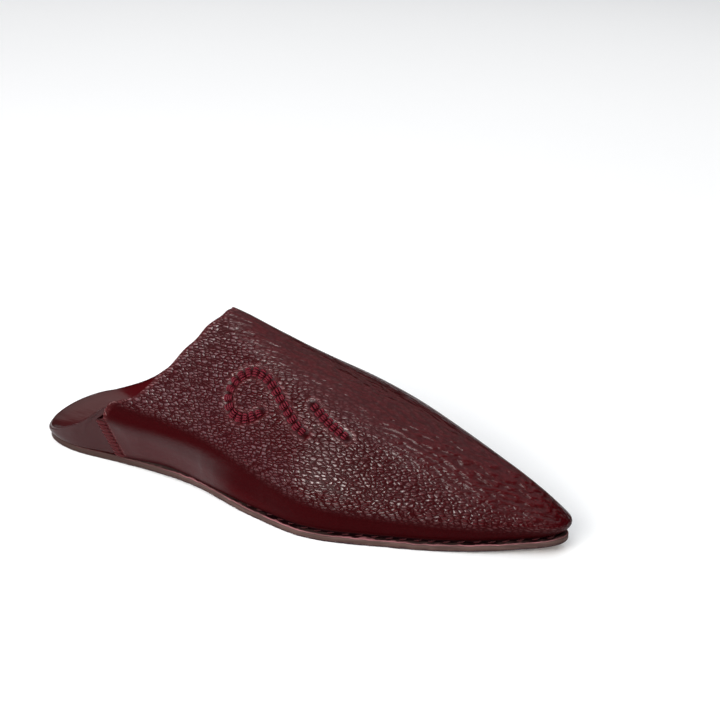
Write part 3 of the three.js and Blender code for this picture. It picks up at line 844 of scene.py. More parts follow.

# %% [markdown]
# ## Wrinkles of the back
#
# The wearer's heel has pressed the flap down, so it is smooth in the middle, and small wrinkles
# gather where it is held by the two side seams. They fan out from the top of each seam. As on the
# vamp they are given as lines, here measured flat from the side on the standing wall. Where the
# wing of the vamp laps over the corner of the back, the back is tucked under it.

# %% Wrinkles of the quarter
QUARTER_CREASES = [
    (-0.3, 1.1, [(-92, 24), (-95, 18), (-96.5, 12)]),
    (0.22, 1.0, [(-94, 23), (-97.5, 17.5), (-99.5, 12)]),
    (-0.25, 1.1, [(-95.5, 21.5), (-100, 15.5), (-103, 10)]),
    (0.2, 1.2, [(-98.5, 18.5), (-104, 12.5), (-108, 8.5)]),
]
FLAP_WAVE, FLAP_WAVE_RATE, CREASE_STEPS, FLAP_STARTS = 0.1, (0.06, 0.09, 0.05), 40, 4
TUCK, TUCK_SHARE, TUCK_HEIGHT = 0.6, (0.9, 0.99), (17, 22)

rib_places = np.arange(quarter_grid.shape[1])
standing = rib_places < WALL_PLACES + FLAP_STARTS
seen_flat = quarter_grid[:, :, [0, 2, 1]] * (1, 1, 0)
quarter_relief = np.zeros(quarter_grid.shape[:2])
for side in (-1, 1):
    half = quarter_grid[:, :, 1] * side > 0
    for depth, crease_width, places in QUARTER_CREASES:
        line = line_through(places, CREASE_STEPS)
        gap, along = distance_to(seen_flat, np.column_stack([line, np.zeros(len(line))]))
        fade = fade_out(along) * standing * half
        quarter_relief += depth * fade * np.exp(-((gap / crease_width) ** 2))
for i, rib in enumerate(quarter_grid):
    for j, point in enumerate(rib):
        quarter_relief[i, j] += FLAP_WAVE * noise.noise(Vector(point * FLAP_WAVE_RATE))
near_seam = ease(*TUCK_SHARE, np.abs(quarter_shares))[:, None]
under_wing = near_seam * ease(*TUCK_HEIGHT, quarter_grid[..., 2])
quarter_relief -= TUCK * under_wing * (rib_places < WALL_PLACES + FOLD_PLACES)
quarter_skin = quarter_grid + quarter_normals * quarter_relief[..., None]
print("relief, mm:", quarter_relief.min().round(2), "to", quarter_relief.max().round(2))


# %% A sheet with a thickness
def close_sheet(outer, inner):
    """Faces of a sheet with a thickness: its two sides and the four narrow edges between them."""
    rows, width = outer.shape[:2]
    count = rows * width
    sides = [grid_faces(rows, width).tolist(), grid_faces(rows, width, count)[:, ::-1].tolist()]
    border = list(range(width)) + [i * width + width - 1 for i in range(1, rows)]
    border += [(rows - 1) * width + j for j in range(width - 2, -1, -1)]
    border += [i * width for i in range(rows - 2, 0, -1)]
    edge = [(a, b, b + count, a + count) for a, b in zip(border, border[1:] + border[:1])]
    return np.concatenate([outer.reshape(-1, 3), inner.reshape(-1, 3)]), sides[0] + sides[1] + edge


# %% The quarter
FLAP_IS_FLAT, GLAZE_ON_BACK, GLAZE_ON_FLAP = 16, 0.52, 0.60

quarter_back = quarter_grid - quarter_normals * QUARTER_WALL
quarter_back[:, 0, 2] = quarter_skin[:, 0, 2]
points, faces = close_sheet(quarter_skin, quarter_back)
on_flap = ease(WALL_PLACES + FLAP_STARTS, WALL_PLACES + FLAP_IS_FLAT, rib_places)
on_flap = np.broadcast_to(on_flap, quarter_grid.shape[:2])
on_flap = np.concatenate([on_flap, on_flap])
# The quarter's standing wall gets the same painted shade as the vamp's walls; the flap does not.
quarter = make_piece(
    "quarter_leather", points, faces, nodes=["heel_quarter"], slot_name="smooth_leather",
    masks={"glaze": mix(GLAZE_ON_BACK, GLAZE_ON_FLAP, on_flap), "wall_shade": 1 - on_flap})


# %% [markdown]
# ## Thread
#
# Embroidery and seams are waxed thread lying on leather. Bump alone would stay flat at their edges,
# so every strand is a real thin tube that rises out of the leather, bows and dives back in. A curve
# with a bevel would be a tube too, but not a flattened one with its own width at each place. One
# function makes them all. Its texture coordinates run along and round the strand, for the twist.


# %% Strands
def make_strands(name, strands, slot_name, sides=8, **piece):
    """Closed tubes. A strand is (points, normals, half height, half width), a row for each place."""
    points, faces, uv = [], [], []
    ring = np.linspace(0, 2 * math.pi, sides, endpoint=False)
    for path, normals, height, width in strands:
        tangent = unit(np.gradient(path, axis=0))
        across = unit(np.cross(normals, tangent))
        upward = np.cross(tangent, across)
        start, count = len(points), len(path)
        run = run_along(path)
        for k in range(count):
            for angle in ring:
                lifted = upward[k] * height[k] * math.sin(angle)
                points.append(path[k] + lifted + across[k] * width[k] * math.cos(angle))
                uv.append((run[k], angle / (2 * math.pi)))
        for k in range(count - 1):
            for a in range(sides):
                b = (a + 1) % sides
                low, high = start + k * sides, start + (k + 1) * sides
                faces.append((low + a, low + b, high + b, high + a))
        faces.append([start + a for a in range(sides)][::-1])
        faces.append([start + (count - 1) * sides + a for a in range(sides)])
    return make_piece(name, points, faces, slot_name=slot_name, uv=uv, **piece)


# %% [markdown]
# ## The embroidered curl
#
# The curl is a common old motif: a loop with a tail and a short dash beside it. It is worked in
# bundles. Four strands run side by side along the line, three in the first and the last bundle, and
# at even steps the whole bundle dives through the leather, so that it looks like a row of beads. One
# bead could be made and copied along the line, but then all would be alike: a hand that sews leans,
# starts and pulls each strand a little differently, and dice stand in for that.

# %% The curl and the dash
BEADS = {"curl": 22, "dash": 7}
STRANDS, STRAND_STEP, STRAND_HALF = 4, 1.2, 0.54
BEAD_RISE, BEAD_SINK, BEAD_SPAN, BEAD_PLACES = 1.35, 0.75, (0.15, 0.85), 9
BEAD_ROUND, OUTER_LOWER, DRAWN_IN, THIN_ENDS = 0.5, 0.16, 0.78, 0.62
HAND_LEAN, HAND_START, HAND_ASIDE, HAND_RISE = 0.06, 0.02, 0.08, 0.05
dice = np.random.default_rng(11)


def bead_strands(path, normals, beads):
    """The strands of every bead on a path that is evenly divided into beads."""
    made = []
    places = np.linspace(0, 1, len(path))
    bow = bow_over(BEAD_PLACES) ** BEAD_ROUND
    girth = STRAND_HALF * mix(THIN_ENDS, 1, bow)
    for bead in range(beads):
        strands = STRANDS - 1 if bead in (0, beads - 1) else STRANDS
        for k in range(strands):
            lean = dice.normal(0, HAND_LEAN) * np.linspace(-1, 1, BEAD_PLACES)
            t = (bead + np.linspace(*BEAD_SPAN, BEAD_PLACES) + dice.normal(0, HAND_START)) / beads
            middle = read_rows(t, places, path)
            up = unit(read_rows(t, places, normals))
            aside = unit(np.cross(up, np.gradient(middle, axis=0)))
            offset = (k - (strands - 1) / 2) * STRAND_STEP + dice.normal(0, HAND_ASIDE)
            spread = offset * mix(DRAWN_IN, 1, bow) + lean
            crown = BEAD_RISE * bow * (1 - OUTER_LOWER * abs(offset))
            height = crown + dice.normal(0, HAND_RISE) - BEAD_SINK - THREAD_TROUGH / 2
            line = middle + up * height[:, None] + aside * spread[:, None]
            made.append((line, up, girth, girth))
    return made


curl_strands = bead_strands(curl_path, curl_normals, BEADS["curl"])
dash_strands = bead_strands(dash_path, dash_normals, BEADS["dash"])
curl = make_strands("curl_embroidery", curl_strands, "seam_thread")
dash = make_strands("dash_embroidery", dash_strands, "seam_thread")

# %% [markdown]
# ## The side seams
#
# Vamp and quarter meet edge to edge and are whipped together. A rope or a bump texture would not show
# how each stitch dives into the leather, so the strip between the two leathers is covered by ten real
# stitches that lie across it. Each is fat in the middle and pulled tight at both ends. A flat core
# behind them fills the strip, as the two edges of leather do in a real seam.

# %% The rear wall and the sizes of its stitches
seam_form = form_at(np.array(SEAM["foot"]))
SEAM_STITCHES, STITCH_HALF_HEIGHT, STITCH_BULGE = 10, 1.05, 1.0
STITCH_REACH, STITCH_FORWARD, STITCH_SLANT, STITCH_STEPS = 2.75, 0.1, -0.3, 11
STITCH_SINK, STITCH_DIVE, OUTWARD = 0.7, 0.2, 2.0
STITCH_END, STITCH_RISE, TIGHT_ENDS, HAND_PLACE, HAND_GIRTH = 0.55, 0.35, 0.5, 0.06, 0.04
CORE = {"below": 0.2, "above": 0.4, "places": 40, "sink": 0.75, "front": 0.6, "half": 0.55, "wider": 0.2}


def on_wall(x, z, side, out):
    """A point of the rear wall at a height, moved outwards."""
    foot = foot_height(np.array(SEAM["foot"]))
    rise = (z - foot) / (seam_form["shoulder"] - foot)
    form = seam_form | {"foot": seam_form["foot"] - out, "lean": seam_form["lean"] - out}
    point = wall(turn_at(x), side, rise, seam_form["shoulder"], form)
    point[..., 2] = z
    return point


# %% Whipped seams
def seam_piece(side):
    """The stitches of one side seam, and the core behind them."""
    strands = []
    foot = foot_height(np.array(SEAM["foot"]))
    across = np.linspace(-1, 1, STITCH_STEPS)
    bulge = np.sqrt(np.clip(1 - across**2, 0, 1))
    for k in range(SEAM_STITCHES):
        z = mix(foot, SEAM["height"], (k + 0.5) / SEAM_STITCHES)
        x = seam_middle(z) + STITCH_REACH * across + STITCH_FORWARD
        heights = z + STITCH_SLANT * across + dice.normal(0, HAND_PLACE)
        out = STITCH_BULGE * bulge - STITCH_SINK - STITCH_DIVE * across
        line = on_wall(x, heights, side, out)
        outer = on_wall(x, heights, side, OUTWARD)
        girth = STITCH_HALF_HEIGHT * mix(TIGHT_ENDS, 1, bulge) * (1 + dice.normal(0, HAND_GIRTH))
        strands.append((line, unit(outer - line), STITCH_END + STITCH_RISE * bulge, girth))
    spine = np.linspace(foot - CORE["below"], SEAM["height"] + CORE["above"], CORE["places"])
    back = on_wall(seam_middle(spine), spine, side, -CORE["sink"])
    front = on_wall(seam_middle(spine), spine, side, CORE["front"])
    thick = np.full_like(spine, CORE["half"])
    wide = np.full_like(spine, SEAM["half_width"] + CORE["wider"])
    strands.append((back, unit(front - back), thick, wide))
    name = "outer" if side < 0 else "inner"
    node = "side_seam_lateral" if side < 0 else "side_seam_medial"
    return make_strands(f"{name}_seam_stitches", strands, "seam_thread", sides=12, nodes=[node])


seams = [seam_piece(side) for side in (-1, 1)]

# %% [markdown]
# ## Loose ends
#
# At the top of each seam the thread was cut, and a few short worn ends show as small pale bits. Hair
# could stand in for them, but there are only four on each side. Each is a short tube drawn through
# three places, and laid on the nearest leather so that none hangs in the air.

# %% Loose ends
LOOSE_ENDS = [
    [(-87.4, 26.5), (-86.2, 25), (-85.6, 23.6)],
    [(-89.2, 19.8), (-88, 20.2), (-86.8, 19.8)],
    [(-84.4, 31.7), (-83, 31.6), (-81.2, 31)],
    [(-83.9, 31.2), (-84.3, 30), (-84.9, 29)],
]
LOOSE_HALF, LOOSE_PLACES, LOOSE_OUT, LOOSE_TAPER = 0.3, 9, 0.1, 0.35
leathers = [tree_of(vamp_skin), tree_of(quarter_skin)]


def on_leather(points):
    """The nearest places on the vamp or the quarter."""
    nearest = []
    for point in points:
        hits = [tree.find_nearest(Vector(point)) for tree in leathers]
        nearest.append(min(hits, key=lambda hit: hit[3])[0])
    return np.array(nearest)


def loose_ends(side):
    """The thread ends at the top of one side seam."""
    made = []
    girth = LOOSE_HALF * np.sin(np.linspace(LOOSE_TAPER, math.pi - LOOSE_TAPER, LOOSE_PLACES))
    for places in LOOSE_ENDS:
        line = line_through(places, LOOSE_PLACES)
        path = on_leather(on_wall(line[:, 0], line[:, 1], side, LOOSE_OUT))
        outer = on_wall(line[:, 0], line[:, 1], side, OUTWARD)
        made.append((path, unit(outer - path), girth, girth))
    return made


ends = make_strands("loose_ends", loose_ends(-1) + loose_ends(1), "seam_thread")

# %% [markdown]
# ## The stitched channel
#
# Round the front half the upper is sewn down through the inner ply, which is painted near black as
# shade, and the channel between upper and sole shows short slanted stitches of red thread, darker as
# painted shade. A dashed texture would be cheaper, but in a dark channel only real thread catches
# light. The stitches follow the outline, a little inside it.

# %% Channel stitches
STITCH_PITCH, STITCH_SHARE, STITCH_INSET = 6.3, 0.5, 1.9
STITCH_LOW, STITCH_HIGH, STITCH_BOW, STITCH_GIRTH, STITCH_THIN = 3.75, 4.45, 0.35, 0.36, 0.55
CHANNEL_START, SHORT_OF_TOE, EDGE_STEPS, STITCH_ROWS = -4.0, 0.03, 500, 7
HAND_ALONG, HAND_HEIGHT = 0.25, 0.08


def channel_strands(side):
    """The stitches along one side of the channel, from the waist to the toe."""
    turns = np.linspace(turn_at(CHANNEL_START), math.pi - SHORT_OF_TOE, EDGE_STEPS)
    run = run_along(inside(turns, side, STITCH_INSET))
    bow = bow_over(STITCH_ROWS)
    climb = np.linspace(STITCH_LOW, STITCH_HIGH, STITCH_ROWS)
    stitch = np.linspace(0, STITCH_PITCH * STITCH_SHARE, STITCH_ROWS)
    girth = STITCH_GIRTH * mix(STITCH_THIN, 1, bow)
    made = []
    for start in np.arange(1, run[-1] - STITCH_PITCH, STITCH_PITCH):
        turn = np.interp(start + stitch + dice.normal(0, HAND_ALONG), run, turns)
        p = inside(turn, side, STITCH_INSET - STITCH_BOW * bow)
        z = lift(p[:, 0]) + climb + dice.normal(0, HAND_HEIGHT)
        outward = unit(inside(turn, side, 0.0) - inside(turn, side, 1.0))
        normals = np.column_stack([outward, np.zeros(STITCH_ROWS)])
        made.append((np.column_stack([p, z]), normals, girth, girth))
    return made


channel = make_strands(
    "channel_stitches", channel_strands(-1) + channel_strands(1), "seam_thread")


# %% [markdown]
# ## Floor and light
#
# A white floor and a few large soft panels, as on a product table. A picture of a studio wrapped round
# the scene would light it too, but panels can be placed one by one. One stands in front and draws the
# glints on the grain, with a bright window in it for the sharpest ones. A small one at the left lays a
# soft shine on the rear wall. Another hangs behind and gives the sheen on the ridge and on the flap.
# A wide fill from above lights the floor, and the world around is a dim grey.


# %% Soft panels
def panel(name, azimuth, elevation, distance, size, power, tint):
    """A soft panel that faces the slipper, placed by degrees and metres."""
    light = bpy.data.lights.new(name, "AREA")
    light.shape = "RECTANGLE"
    light.size, light.size_y = size
    light.energy = power
    light.color = tint
    lamp = bpy.data.objects.new(name, light)
    bpy.context.scene.collection.objects.link(lamp)
    away = direction(math.radians(azimuth), math.radians(elevation))
    lamp.location = away * distance
    lamp.rotation_euler = away.to_track_quat("Z", "Y").to_euler()
    print(f"{name}: {power} W over {size[0]} by {size[1]} m")


panel("left_panel", -44, 21, 1.3, (0.70, 0.50), 2.8, (0.93, 0.90, 1.0))
panel("front_panel", -9, 34, 1.3, (1.05, 0.75), 7.0, (1.0, 0.98, 0.97))
panel("front_window", -2, 32, 1.25, (0.85, 0.34), 12.0, (1.0, 0.99, 0.95))
panel("back_panel", 190, 48, 1.5, (2.7, 1.1), 8.0, (1.0, 0.97, 0.93))
panel("top_fill", 10, 84, 3.2, (4.4, 4.4), 82, (0.92, 0.96, 1.0))

# %% Floor and world
FLOOR_HALF, WORLD_GREY, WORLD_STRENGTH = 6.0, (0.55, 0.56, 0.6, 1), 0.06

floor_mesh = bpy.data.meshes.new("floor")
corners = [(x * FLOOR_HALF, y * FLOOR_HALF, 0) for x, y in ((-1, -1), (1, -1), (1, 1), (-1, 1))]
floor_mesh.from_pydata(corners, [], [(0, 1, 2, 3)])
floor = bpy.data.objects.new("floor", floor_mesh)
bpy.context.scene.collection.objects.link(floor)

world = bpy.data.worlds.new("studio")
world.use_nodes = True
background = world.node_tree.nodes["Background"]
background.inputs["Color"].default_value = WORLD_GREY
background.inputs["Strength"].default_value = WORLD_STRENGTH
bpy.context.scene.world = world
bpy.context.scene.view_settings.view_transform = "Standard"
print("floor:", 2 * FLOOR_HALF, "m wide")

# %% [markdown]
# ## How a finish is mixed
#
# Each finish is a small recipe of nodes round one shader. Painted textures could look as good from
# one side, but procedural ones are sharp at any distance and fit any shape. The helper keeps the
# recipes short: it adds a node, takes numbers or other nodes as its inputs, and hands back its output.
# What stays the same over a whole piece is set on the shader itself, and what varies is linked to it.


# %% A helper for finishes
class Finish:
    """A material, with short ways to add and join its nodes."""

    def __init__(self, name, **constants):
        self.material = bpy.data.materials.new(name)
        self.material.use_nodes = True
        self.shader = self.material.node_tree.nodes["Principled BSDF"]
        for socket, value in constants.items():
            self.shader.inputs[socket.replace("_", " ")].default_value = value

    def add(self, kind, settings=None, output=0, **inputs):
        """A node. Its inputs go by name, or by number, such as in0 for the first."""
        node = self.material.node_tree.nodes.new("ShaderNode" + kind)
        for name, value in (settings or {}).items():
            setattr(node, name, value)
        for name, value in inputs.items():
            socket = node.inputs[int(name[2:]) if name.startswith("in") and name[2:].isdigit()
                                 else name.replace("_", " ")]
            if isinstance(value, bpy.types.NodeSocket):
                self.material.node_tree.links.new(value, socket)
            else:
                socket.default_value = value
        return node.outputs[output]

    def math(self, operation, a, b=0.0):
        return self.add("Math", {"operation": operation}, in0=a, in1=b)

    def mask(self, name):
        """A mask that was stored at the points of the piece."""
        return self.add("Attribute", {"attribute_name": name}, output=2)

    def place(self, scale=(1, 1, 1), rotation=(0, 0, 0)):
        """The place on the piece, in metres, scaled and turned."""
        where = self.add("TexCoord", output=3)
        return self.add("Mapping", in0=where, Scale=scale, Rotation=rotation)

    def spread(self, value, low, high, to_low=0.0, to_high=1.0):
        """A soft step of a value between two limits."""
        return self.add("MapRange", {"interpolation_type": "SMOOTHSTEP"}, in0=value, in1=low,
                        in2=high, in3=to_low, in4=to_high)

    def blend(self, amount, low, high):
        """A colour between two others."""
        return self.add("Mix", {"data_type": "RGBA"}, output=2, in0=amount, in6=low, in7=high)

    def bump(self, height, depth, below=None):
        """Relief of a depth in metres, over the relief below it."""
        under = {"Normal": below} if below is not None else {}
        return self.add("Bump", Height=height, Distance=depth, Strength=1.0, **under)

    def use(self, **sockets):
        """Link outputs to the shader's sockets, and hand back the finished material."""
        for name, value in sockets.items():
            self.material.node_tree.links.new(value, self.shader.inputs[name.replace("_", " ")])
        print("finish:", self.material.name, "with", len(self.material.node_tree.nodes), "nodes")
        return self.material


def colour(red, green, blue):
    """An opaque colour from linear light."""
    return (red, green, blue, 1.0)


# %% [markdown]
# ## Grained leather
#
# The vamp is goat leather, dyed oxblood and glazed. Its grain is a net of small pebbles, longer along
# the shoe than across, in rows that climb a little towards the toe. Over the top they flatten out and
# long fine ripples take their place. A Voronoi texture gives the cells: its distance to the nearest
# edge is the pebble, and noise bends the rows. Real relief would need millions of points, so the
# grain is bump. Painted shade darkens the colour in the grooves of the grain, in the troughs of the
# ripples, on the upright walls, where less light falls, under the thread, and at the foot of the wall,
# where there is some dark wax too. It is pale at the collar, where it is rubbed, and on the lips, as a
# painted highlight. The glaze is a thin glossy coat, so the leather under it stays dull and deep. The
# smooth back has the same dye, with a trace of grain, and painted shade on its standing wall.

# %% Colours and sizes of the oxblood leather
OXBLOOD, OXBLOOD_DEEP = colour(0.047, 0.0010, 0.0024), colour(0.0145, 0.0002, 0.0006)
OXBLOOD_BROWN = colour(0.049, 0.0026, 0.0036)
# A pale colour for rubbed wear at the collar and for a painted highlight on the lips.
OXBLOOD_RUBBED_AND_LIT = colour(0.13, 0.036, 0.038)
GRAIN_CELLS, GRAIN_STRETCH, GRAIN_TILT = 680.0, (0.50, 0.95, 1.25), math.radians(12)
GRAIN_DEPTH, WRINKLE_DEPTH, RIPPLE_LEFT, PORE_DEPTH = 0.00012, 0.00075, 0.10, 0.000012
GRAIN_BEND, RIPPLE_BEND = (200.0, 0.0011), (120.0, 0.003)
RIPPLE_SCALE, PORE_SCALE, CLOUD_SCALE = 640.0, 2600.0, 38.0
# How strong the painted shade is in the grooves and on the walls, and how much gloss the grooves lose.
GROOVE_SHADE, WALL_SHADE_STRENGTH, GROOVE_DULL = 0.8, 0.72, 0.95
PEBBLE_EDGE, RIPPLE_EDGE, CLOUD_EDGE, PALE_TOP_EDGE = (0.02, 0.34), (0.56, 0.42), (0.35, 0.75), (0.05, 0.3)
# How dark the painted shade in the ripples gets, how far the cloudy tone goes, how pale the pebble tops
# get, and the smooth back's trace of grain.
RIPPLE_SHADE, CLOUD_DYE, PALE_TOP_AMOUNT, SMOOTH_GRAIN = (0.0, 0.4), (0.0, 0.6), (0.15, 0.6), (0.03, 0.10)
LEATHER_ROUGH = (0.36, 0.6)
print("grain cells, mm:", round(1000 / GRAIN_CELLS / GRAIN_STRETCH[0], 1), "long")


# %% Oxblood leathers
def bent_place(finish, place, scale, amount):
    """A place pushed about by soft noise, so that rows in a texture waver."""
    drift = finish.add("TexNoise", output=1, Vector=place, Scale=scale, Detail=1.0)
    centred = finish.add("VectorMath", {"operation": "SUBTRACT"}, in0=drift, in1=(0.5, 0.5, 0.5))
    push = finish.add("VectorMath", {"operation": "SCALE"}, in0=centred, Scale=amount)
    return finish.add("VectorMath", {"operation": "ADD"}, in0=place, in1=push)


def oxblood_leather(name, grained):
    """Oxblood leather. The grained one takes from masks its grain, its painted shade under the thread and
    at the foot of the wall, and its pale places: rubbed wear at the collar and a painted highlight on the
    lips.
    """
    leather = Finish(name, Specular_IOR_Level=0.02, Coat_Roughness=0.2, Coat_IOR=1.5)
    place = leather.place(GRAIN_STRETCH, (0, GRAIN_TILT, 0))
    edges = leather.add(
        "TexVoronoi", {"feature": "DISTANCE_TO_EDGE"}, Vector=bent_place(leather, place, *GRAIN_BEND),
        Scale=GRAIN_CELLS, Randomness=0.72)
    pebble = leather.spread(edges, *PEBBLE_EDGE)
    long_place = leather.place((0.2, 1.0, 1.0), (0, GRAIN_TILT, 0))
    wrinkle = leather.add("TexNoise", Vector=bent_place(leather, long_place, *RIPPLE_BEND),
                          Scale=RIPPLE_SCALE, Detail=0.3, Roughness=0.5)
    pores = leather.add("TexNoise", Vector=leather.place(), Scale=PORE_SCALE, Detail=2.0)
    cloud = leather.add("TexNoise", Vector=leather.place(), Scale=CLOUD_SCALE, Detail=3.0)
    if grained:
        amount, thread_and_foot_shade, rubbed_and_lip_highlight = (leather.mask(mask) for mask in ("grain", "thread_and_foot_shade", "rubbed_and_lip_highlight"))
    else:
        amount, thread_and_foot_shade, rubbed_and_lip_highlight = leather.spread(cloud, 0.4, 0.7, *SMOOTH_GRAIN), 0.0, 0.0
    ripple = leather.mask("ripple")
    groove = leather.math("MULTIPLY", leather.math("SUBTRACT", 1.0, pebble), amount)
    # Painted shade in the troughs of the ripples.
    trough = leather.math("MULTIPLY", ripple, leather.spread(wrinkle, *RIPPLE_EDGE, *RIPPLE_SHADE))
    # Painted shade on the walls, where less light falls.
    wall_shade = leather.math("MULTIPLY", leather.mask("wall_shade"), WALL_SHADE_STRENGTH)
    leather_colour = leather.blend(leather.spread(cloud, *CLOUD_EDGE, *CLOUD_DYE), OXBLOOD, OXBLOOD_BROWN)
    # Painted shade: darker in the grooves of the grain, in the troughs of the ripples, on the walls where
    # less light falls, under the thread and at the foot of the wall.
    for darker in (leather.math("MULTIPLY", groove, GROOVE_SHADE), trough, wall_shade, thread_and_foot_shade):
        leather_colour = leather.blend(darker, leather_colour, OXBLOOD_DEEP)
    # Paler pebble tops: rubbed wear at the collar and a painted highlight on the lips.
    tint_amount = leather.math("MULTIPLY", rubbed_and_lip_highlight, leather.spread(edges, *PALE_TOP_EDGE, *PALE_TOP_AMOUNT))
    leather_colour = leather.blend(tint_amount, leather_colour, OXBLOOD_RUBBED_AND_LIT)
    rough = leather.math("ADD", groove, leather.math("MULTIPLY", cloud, 0.3))
    gloss = leather.add(
        "MapRange", in0=rough, in1=0.0, in2=1.0, in3=LEATHER_ROUGH[0], in4=LEATHER_ROUGH[1])
    dulled = leather.math("SUBTRACT", 1.0, leather.math("MULTIPLY", groove, GROOVE_DULL))
    shine = leather.math("MULTIPLY", leather.mask("glaze"), dulled)
    relief = leather.bump(leather.math("MULTIPLY", pebble, amount), GRAIN_DEPTH)
    rippled = leather.math("MULTIPLY", wrinkle, leather.math("ADD", ripple, RIPPLE_LEFT))
    relief = leather.bump(rippled, WRINKLE_DEPTH, relief)
    relief = leather.bump(pores, PORE_DEPTH, relief)
    return leather.use(Base_Color=leather_colour, Roughness=gloss, Normal=relief, Coat_Normal=relief,
                       Coat_Weight=shine)


grained_leather = oxblood_leather("grained_leather", True)
smooth_leather = oxblood_leather("smooth_leather", False)

# %% [markdown]
# ## Lining, sole and thread
#
# The inside is undyed sheepskin, matt and cloudy. The sole's edge shows its layers. Each could be a
# piece of its own, but they are parts of one hide, with a stained line near the top. So a mask counts
# the rings from bottom to top, and a colour ramp paints them, with noise so that the lines waver: the
# dark bottom band is painted shade on the bevel that faces down, and the black top band is painted
# shade in the channel under the upper. The underside is plain scuffed hide. Thread gets the slant of
# its twist from its own texture coordinates, and its painted light from them too: a lit top, and
# painted shade on its sides and between its plies.


# %% Lining
def lining_leather():
    skin = Finish("lining_leather", Specular_IOR_Level=0.3)
    cloud = skin.add("TexNoise", Vector=skin.place(), Scale=45.0, Detail=4.0)
    nap = skin.add("TexNoise", Vector=skin.place(), Scale=1500.0, Detail=3.0)
    pale, tanned, deep = colour(0.33, 0.19, 0.11), colour(0.22, 0.115, 0.065), colour(0.13, 0.065, 0.04)
    tan = skin.blend(skin.spread(cloud, 0.35, 0.7), pale, tanned)
    tan = skin.blend(skin.spread(nap, 0.35, 0.8, 0.0, 0.35), tan, deep)
    dull = skin.spread(cloud, 0.3, 0.8, 0.62, 0.8)
    return skin.use(Base_Color=tan, Roughness=dull, Normal=skin.bump(nap, 0.00012))


# %% The edge of the sole
HEEL_DARKENING = (-0.085, -0.02)
# From bottom to top: painted shade on the bevel that faces down, the raw brown middle, the stained line,
# and near black as painted shade in the channel under the upper.
SOLE_LAYERS = [
    (0.0, (0.014, 0.005, 0.009)), (0.30, (0.024, 0.010, 0.015)), (0.42, (0.075, 0.043, 0.037)),
    (0.60, (0.098, 0.060, 0.052)), (0.70, (0.070, 0.040, 0.038)), (0.79, (0.36, 0.15, 0.16)),
    (0.86, (0.30, 0.11, 0.12)), (0.93, (0.008, 0.0015, 0.002)),
]


def sole_edge():
    edge = Finish("sole_edge", Specular_IOR_Level=0.06)
    wobble = edge.add("TexNoise", Vector=edge.place((1, 1, 0.3)), Scale=260.0, Detail=3.0)
    fibre = edge.add("TexNoise", Vector=edge.place((0.07, 0.07, 1.6)), Scale=900.0, Detail=3.0)
    waver = edge.math("MULTIPLY", edge.math("SUBTRACT", wobble, 0.5), 0.3)
    ramp = edge.add("ValToRGB", Fac=edge.math("ADD", edge.mask("layer"), waver))
    stops = ramp.node.color_ramp
    while len(stops.elements) < len(SOLE_LAYERS):
        stops.elements.new(0.5)
    for stop, (place, tone) in zip(stops.elements, SOLE_LAYERS):
        stop.position = place
        stop.color = colour(*tone)
    tone = edge.blend(edge.spread(fibre, 0.42, 0.62, 0.0, 0.6), ramp, colour(0.045, 0.025, 0.022))
    along = edge.add("SeparateXYZ", in0=edge.place())
    # Darker towards the heel.
    tint_amount = edge.spread(along, *HEEL_DARKENING, 0.85, 0.0)
    tone = edge.blend(tint_amount, tone, colour(0.040, 0.022, 0.019))
    relief = edge.bump(fibre, 0.00018)
    return edge.use(Base_Color=tone, Roughness=edge.spread(fibre, 0.3, 0.8, 0.45, 0.7), Normal=relief)


# %% The underside of the sole
def sole_face():
    face = Finish("sole_face", Specular_IOR_Level=0.4)
    cloud = face.add("TexNoise", Vector=face.place(), Scale=30.0, Detail=4.0)
    streaks = face.place((0.15, 1.0, 1.0), (0, 0, 0.3))
    scuff = face.add("TexNoise", Vector=streaks, Scale=700.0, Detail=3.0)
    hide, stain = colour(0.20, 0.115, 0.07), colour(0.13, 0.07, 0.045)
    tone = face.blend(face.spread(cloud, 0.3, 0.7), hide, stain)
    tone = face.blend(face.spread(scuff, 0.55, 0.75, 0.0, 0.5), tone, colour(0.30, 0.2, 0.14))
    return face.use(Base_Color=tone, Roughness=face.spread(cloud, 0.3, 0.7, 0.4, 0.65),
                    Normal=face.bump(scuff, 0.0001))


# %% The dark ply
# Near black as painted shade: this ply and the sole's top show only in the shaded channel.
def dark_ply():
    ply = Finish("dark_ply", Specular_IOR_Level=0.01)
    fibre = ply.add("TexNoise", Vector=ply.place((0.4, 0.4, 1.5)), Scale=1400.0, Detail=3.0)
    black, brown = colour(0.004, 0.001, 0.0015), colour(0.016, 0.003, 0.004)
    tone = ply.blend(ply.spread(fibre, 0.4, 0.75), black, brown)
    return ply.use(Base_Color=tone, Roughness=ply.spread(fibre, 0.3, 0.8, 0.6, 0.85),
                   Normal=ply.bump(fibre, 0.0003))


# %% Thread
TWIST, THREAD_PLIES = 1.15, 2


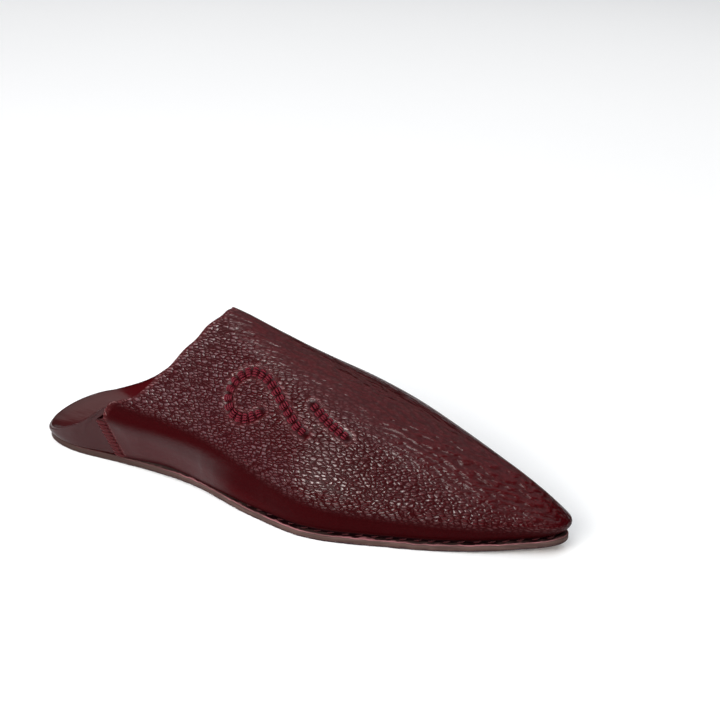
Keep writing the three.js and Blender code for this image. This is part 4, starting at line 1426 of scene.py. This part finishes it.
def waxed_thread(name, lit, deep):
    """Thread with painted light: lit on top, painted shade on its sides and between its plies, and a
    little fuzz.
    """
    thread = Finish(name, Specular_IOR_Level=0.22)
    run = thread.add("SeparateXYZ", in0=thread.add("TexCoord", output=2))
    turn = run.node.outputs[1]
    phase = thread.math("ADD", thread.math("DIVIDE", run, TWIST), turn)
    ply = thread.math("SINE", thread.math("MULTIPLY", phase, 2 * math.pi * THREAD_PLIES))
    fuzz = thread.add("TexNoise", Vector=thread.place(), Scale=2200.0, Detail=2.0)
    # Painted light: the top of each strand is lit, and its sides and the grooves between its plies are
    # painted shade.
    facing = thread.math("SINE", thread.math("MULTIPLY", turn, 2 * math.pi))
    light = thread.math(
        "MULTIPLY", thread.spread(facing, -0.1, 0.95), thread.spread(ply, -1.2, 0.5))
    tone = thread.blend(light, deep, lit)
    tone = thread.blend(thread.spread(fuzz, 0.45, 0.8, 0.0, 0.35), tone, deep)
    relief = thread.bump(fuzz, 0.00006, thread.bump(ply, 0.00008))
    return thread.use(
        Base_Color=tone, Roughness=thread.spread(fuzz, 0.3, 0.7, 0.42, 0.6), Normal=relief)


# %% [markdown]
# ## Dress every piece
#
# A piece takes its finishes in the order in which its faces count them: the vamp's grained skin, then
# its lining, and the sole's edge, then its underside, then its top, which is painted near black as
# shade in the channel. One red thread would do for all, but it is not alike everywhere: the curl stays
# bright, the seams are deeper, the channel's thread is darker as painted shade in the channel, and the
# loose ends are bleached and worn. The floor gets a faint glow, so that it stays white behind the
# slipper.

# %% Threads
# Each thread has a lit colour for its painted highlight on top and a deep colour for its painted shade.
THREADS = {
    "crimson_thread": ((0.175, 0.0050, 0.018), (0.012, 0.0003, 0.001)),
    "seam_thread": ((0.078, 0.0014, 0.004), (0.014, 0.0003, 0.0008)),
    # The channel's thread is darker as painted shade, for the shade in the channel.
    "channel_thread": ((0.060, 0.0030, 0.006), (0.012, 0.0005, 0.001)),
    "worn_thread": ((0.20, 0.085, 0.085), (0.07, 0.02, 0.02)),
}


crimson, seam_red, channel_red, worn_red = (
    waxed_thread(name, colour(*lit), colour(*deep)) for name, (lit, deep) in THREADS.items())


# %% Give each piece its finish
def dress(pieces, *finishes):
    """Give some pieces the same finishes."""
    for piece in pieces:
        for finish in finishes:
            piece.data.materials.append(finish)


lining_skin, edge, face, ply = lining_leather(), sole_edge(), sole_face(), dark_ply()
dress([vamp], grained_leather, lining_skin)
dress([quarter], smooth_leather)
dress([curl, dash], crimson)
dress(seams, seam_red)
dress([channel], channel_red)
dress([ends], worn_red)
dress([outsole], edge, face, ply)
dress([midsole], ply, ply, ply)
dress([insole], lining_skin, lining_skin, lining_skin)


# %% The floor's finish
def pale_floor():
    paper = Finish(
        "pale_floor", Specular_IOR_Level=0.2, Roughness=0.75,
        Emission_Color=colour(1, 1, 1), Emission_Strength=0.12)
    cloud = paper.add("TexNoise", Vector=paper.place(), Scale=3.0, Detail=2.0)
    white = paper.blend(cloud, colour(0.93, 0.93, 0.935), colour(0.90, 0.90, 0.905))
    return paper.use(Base_Color=white)


dress([floor], pale_floor())
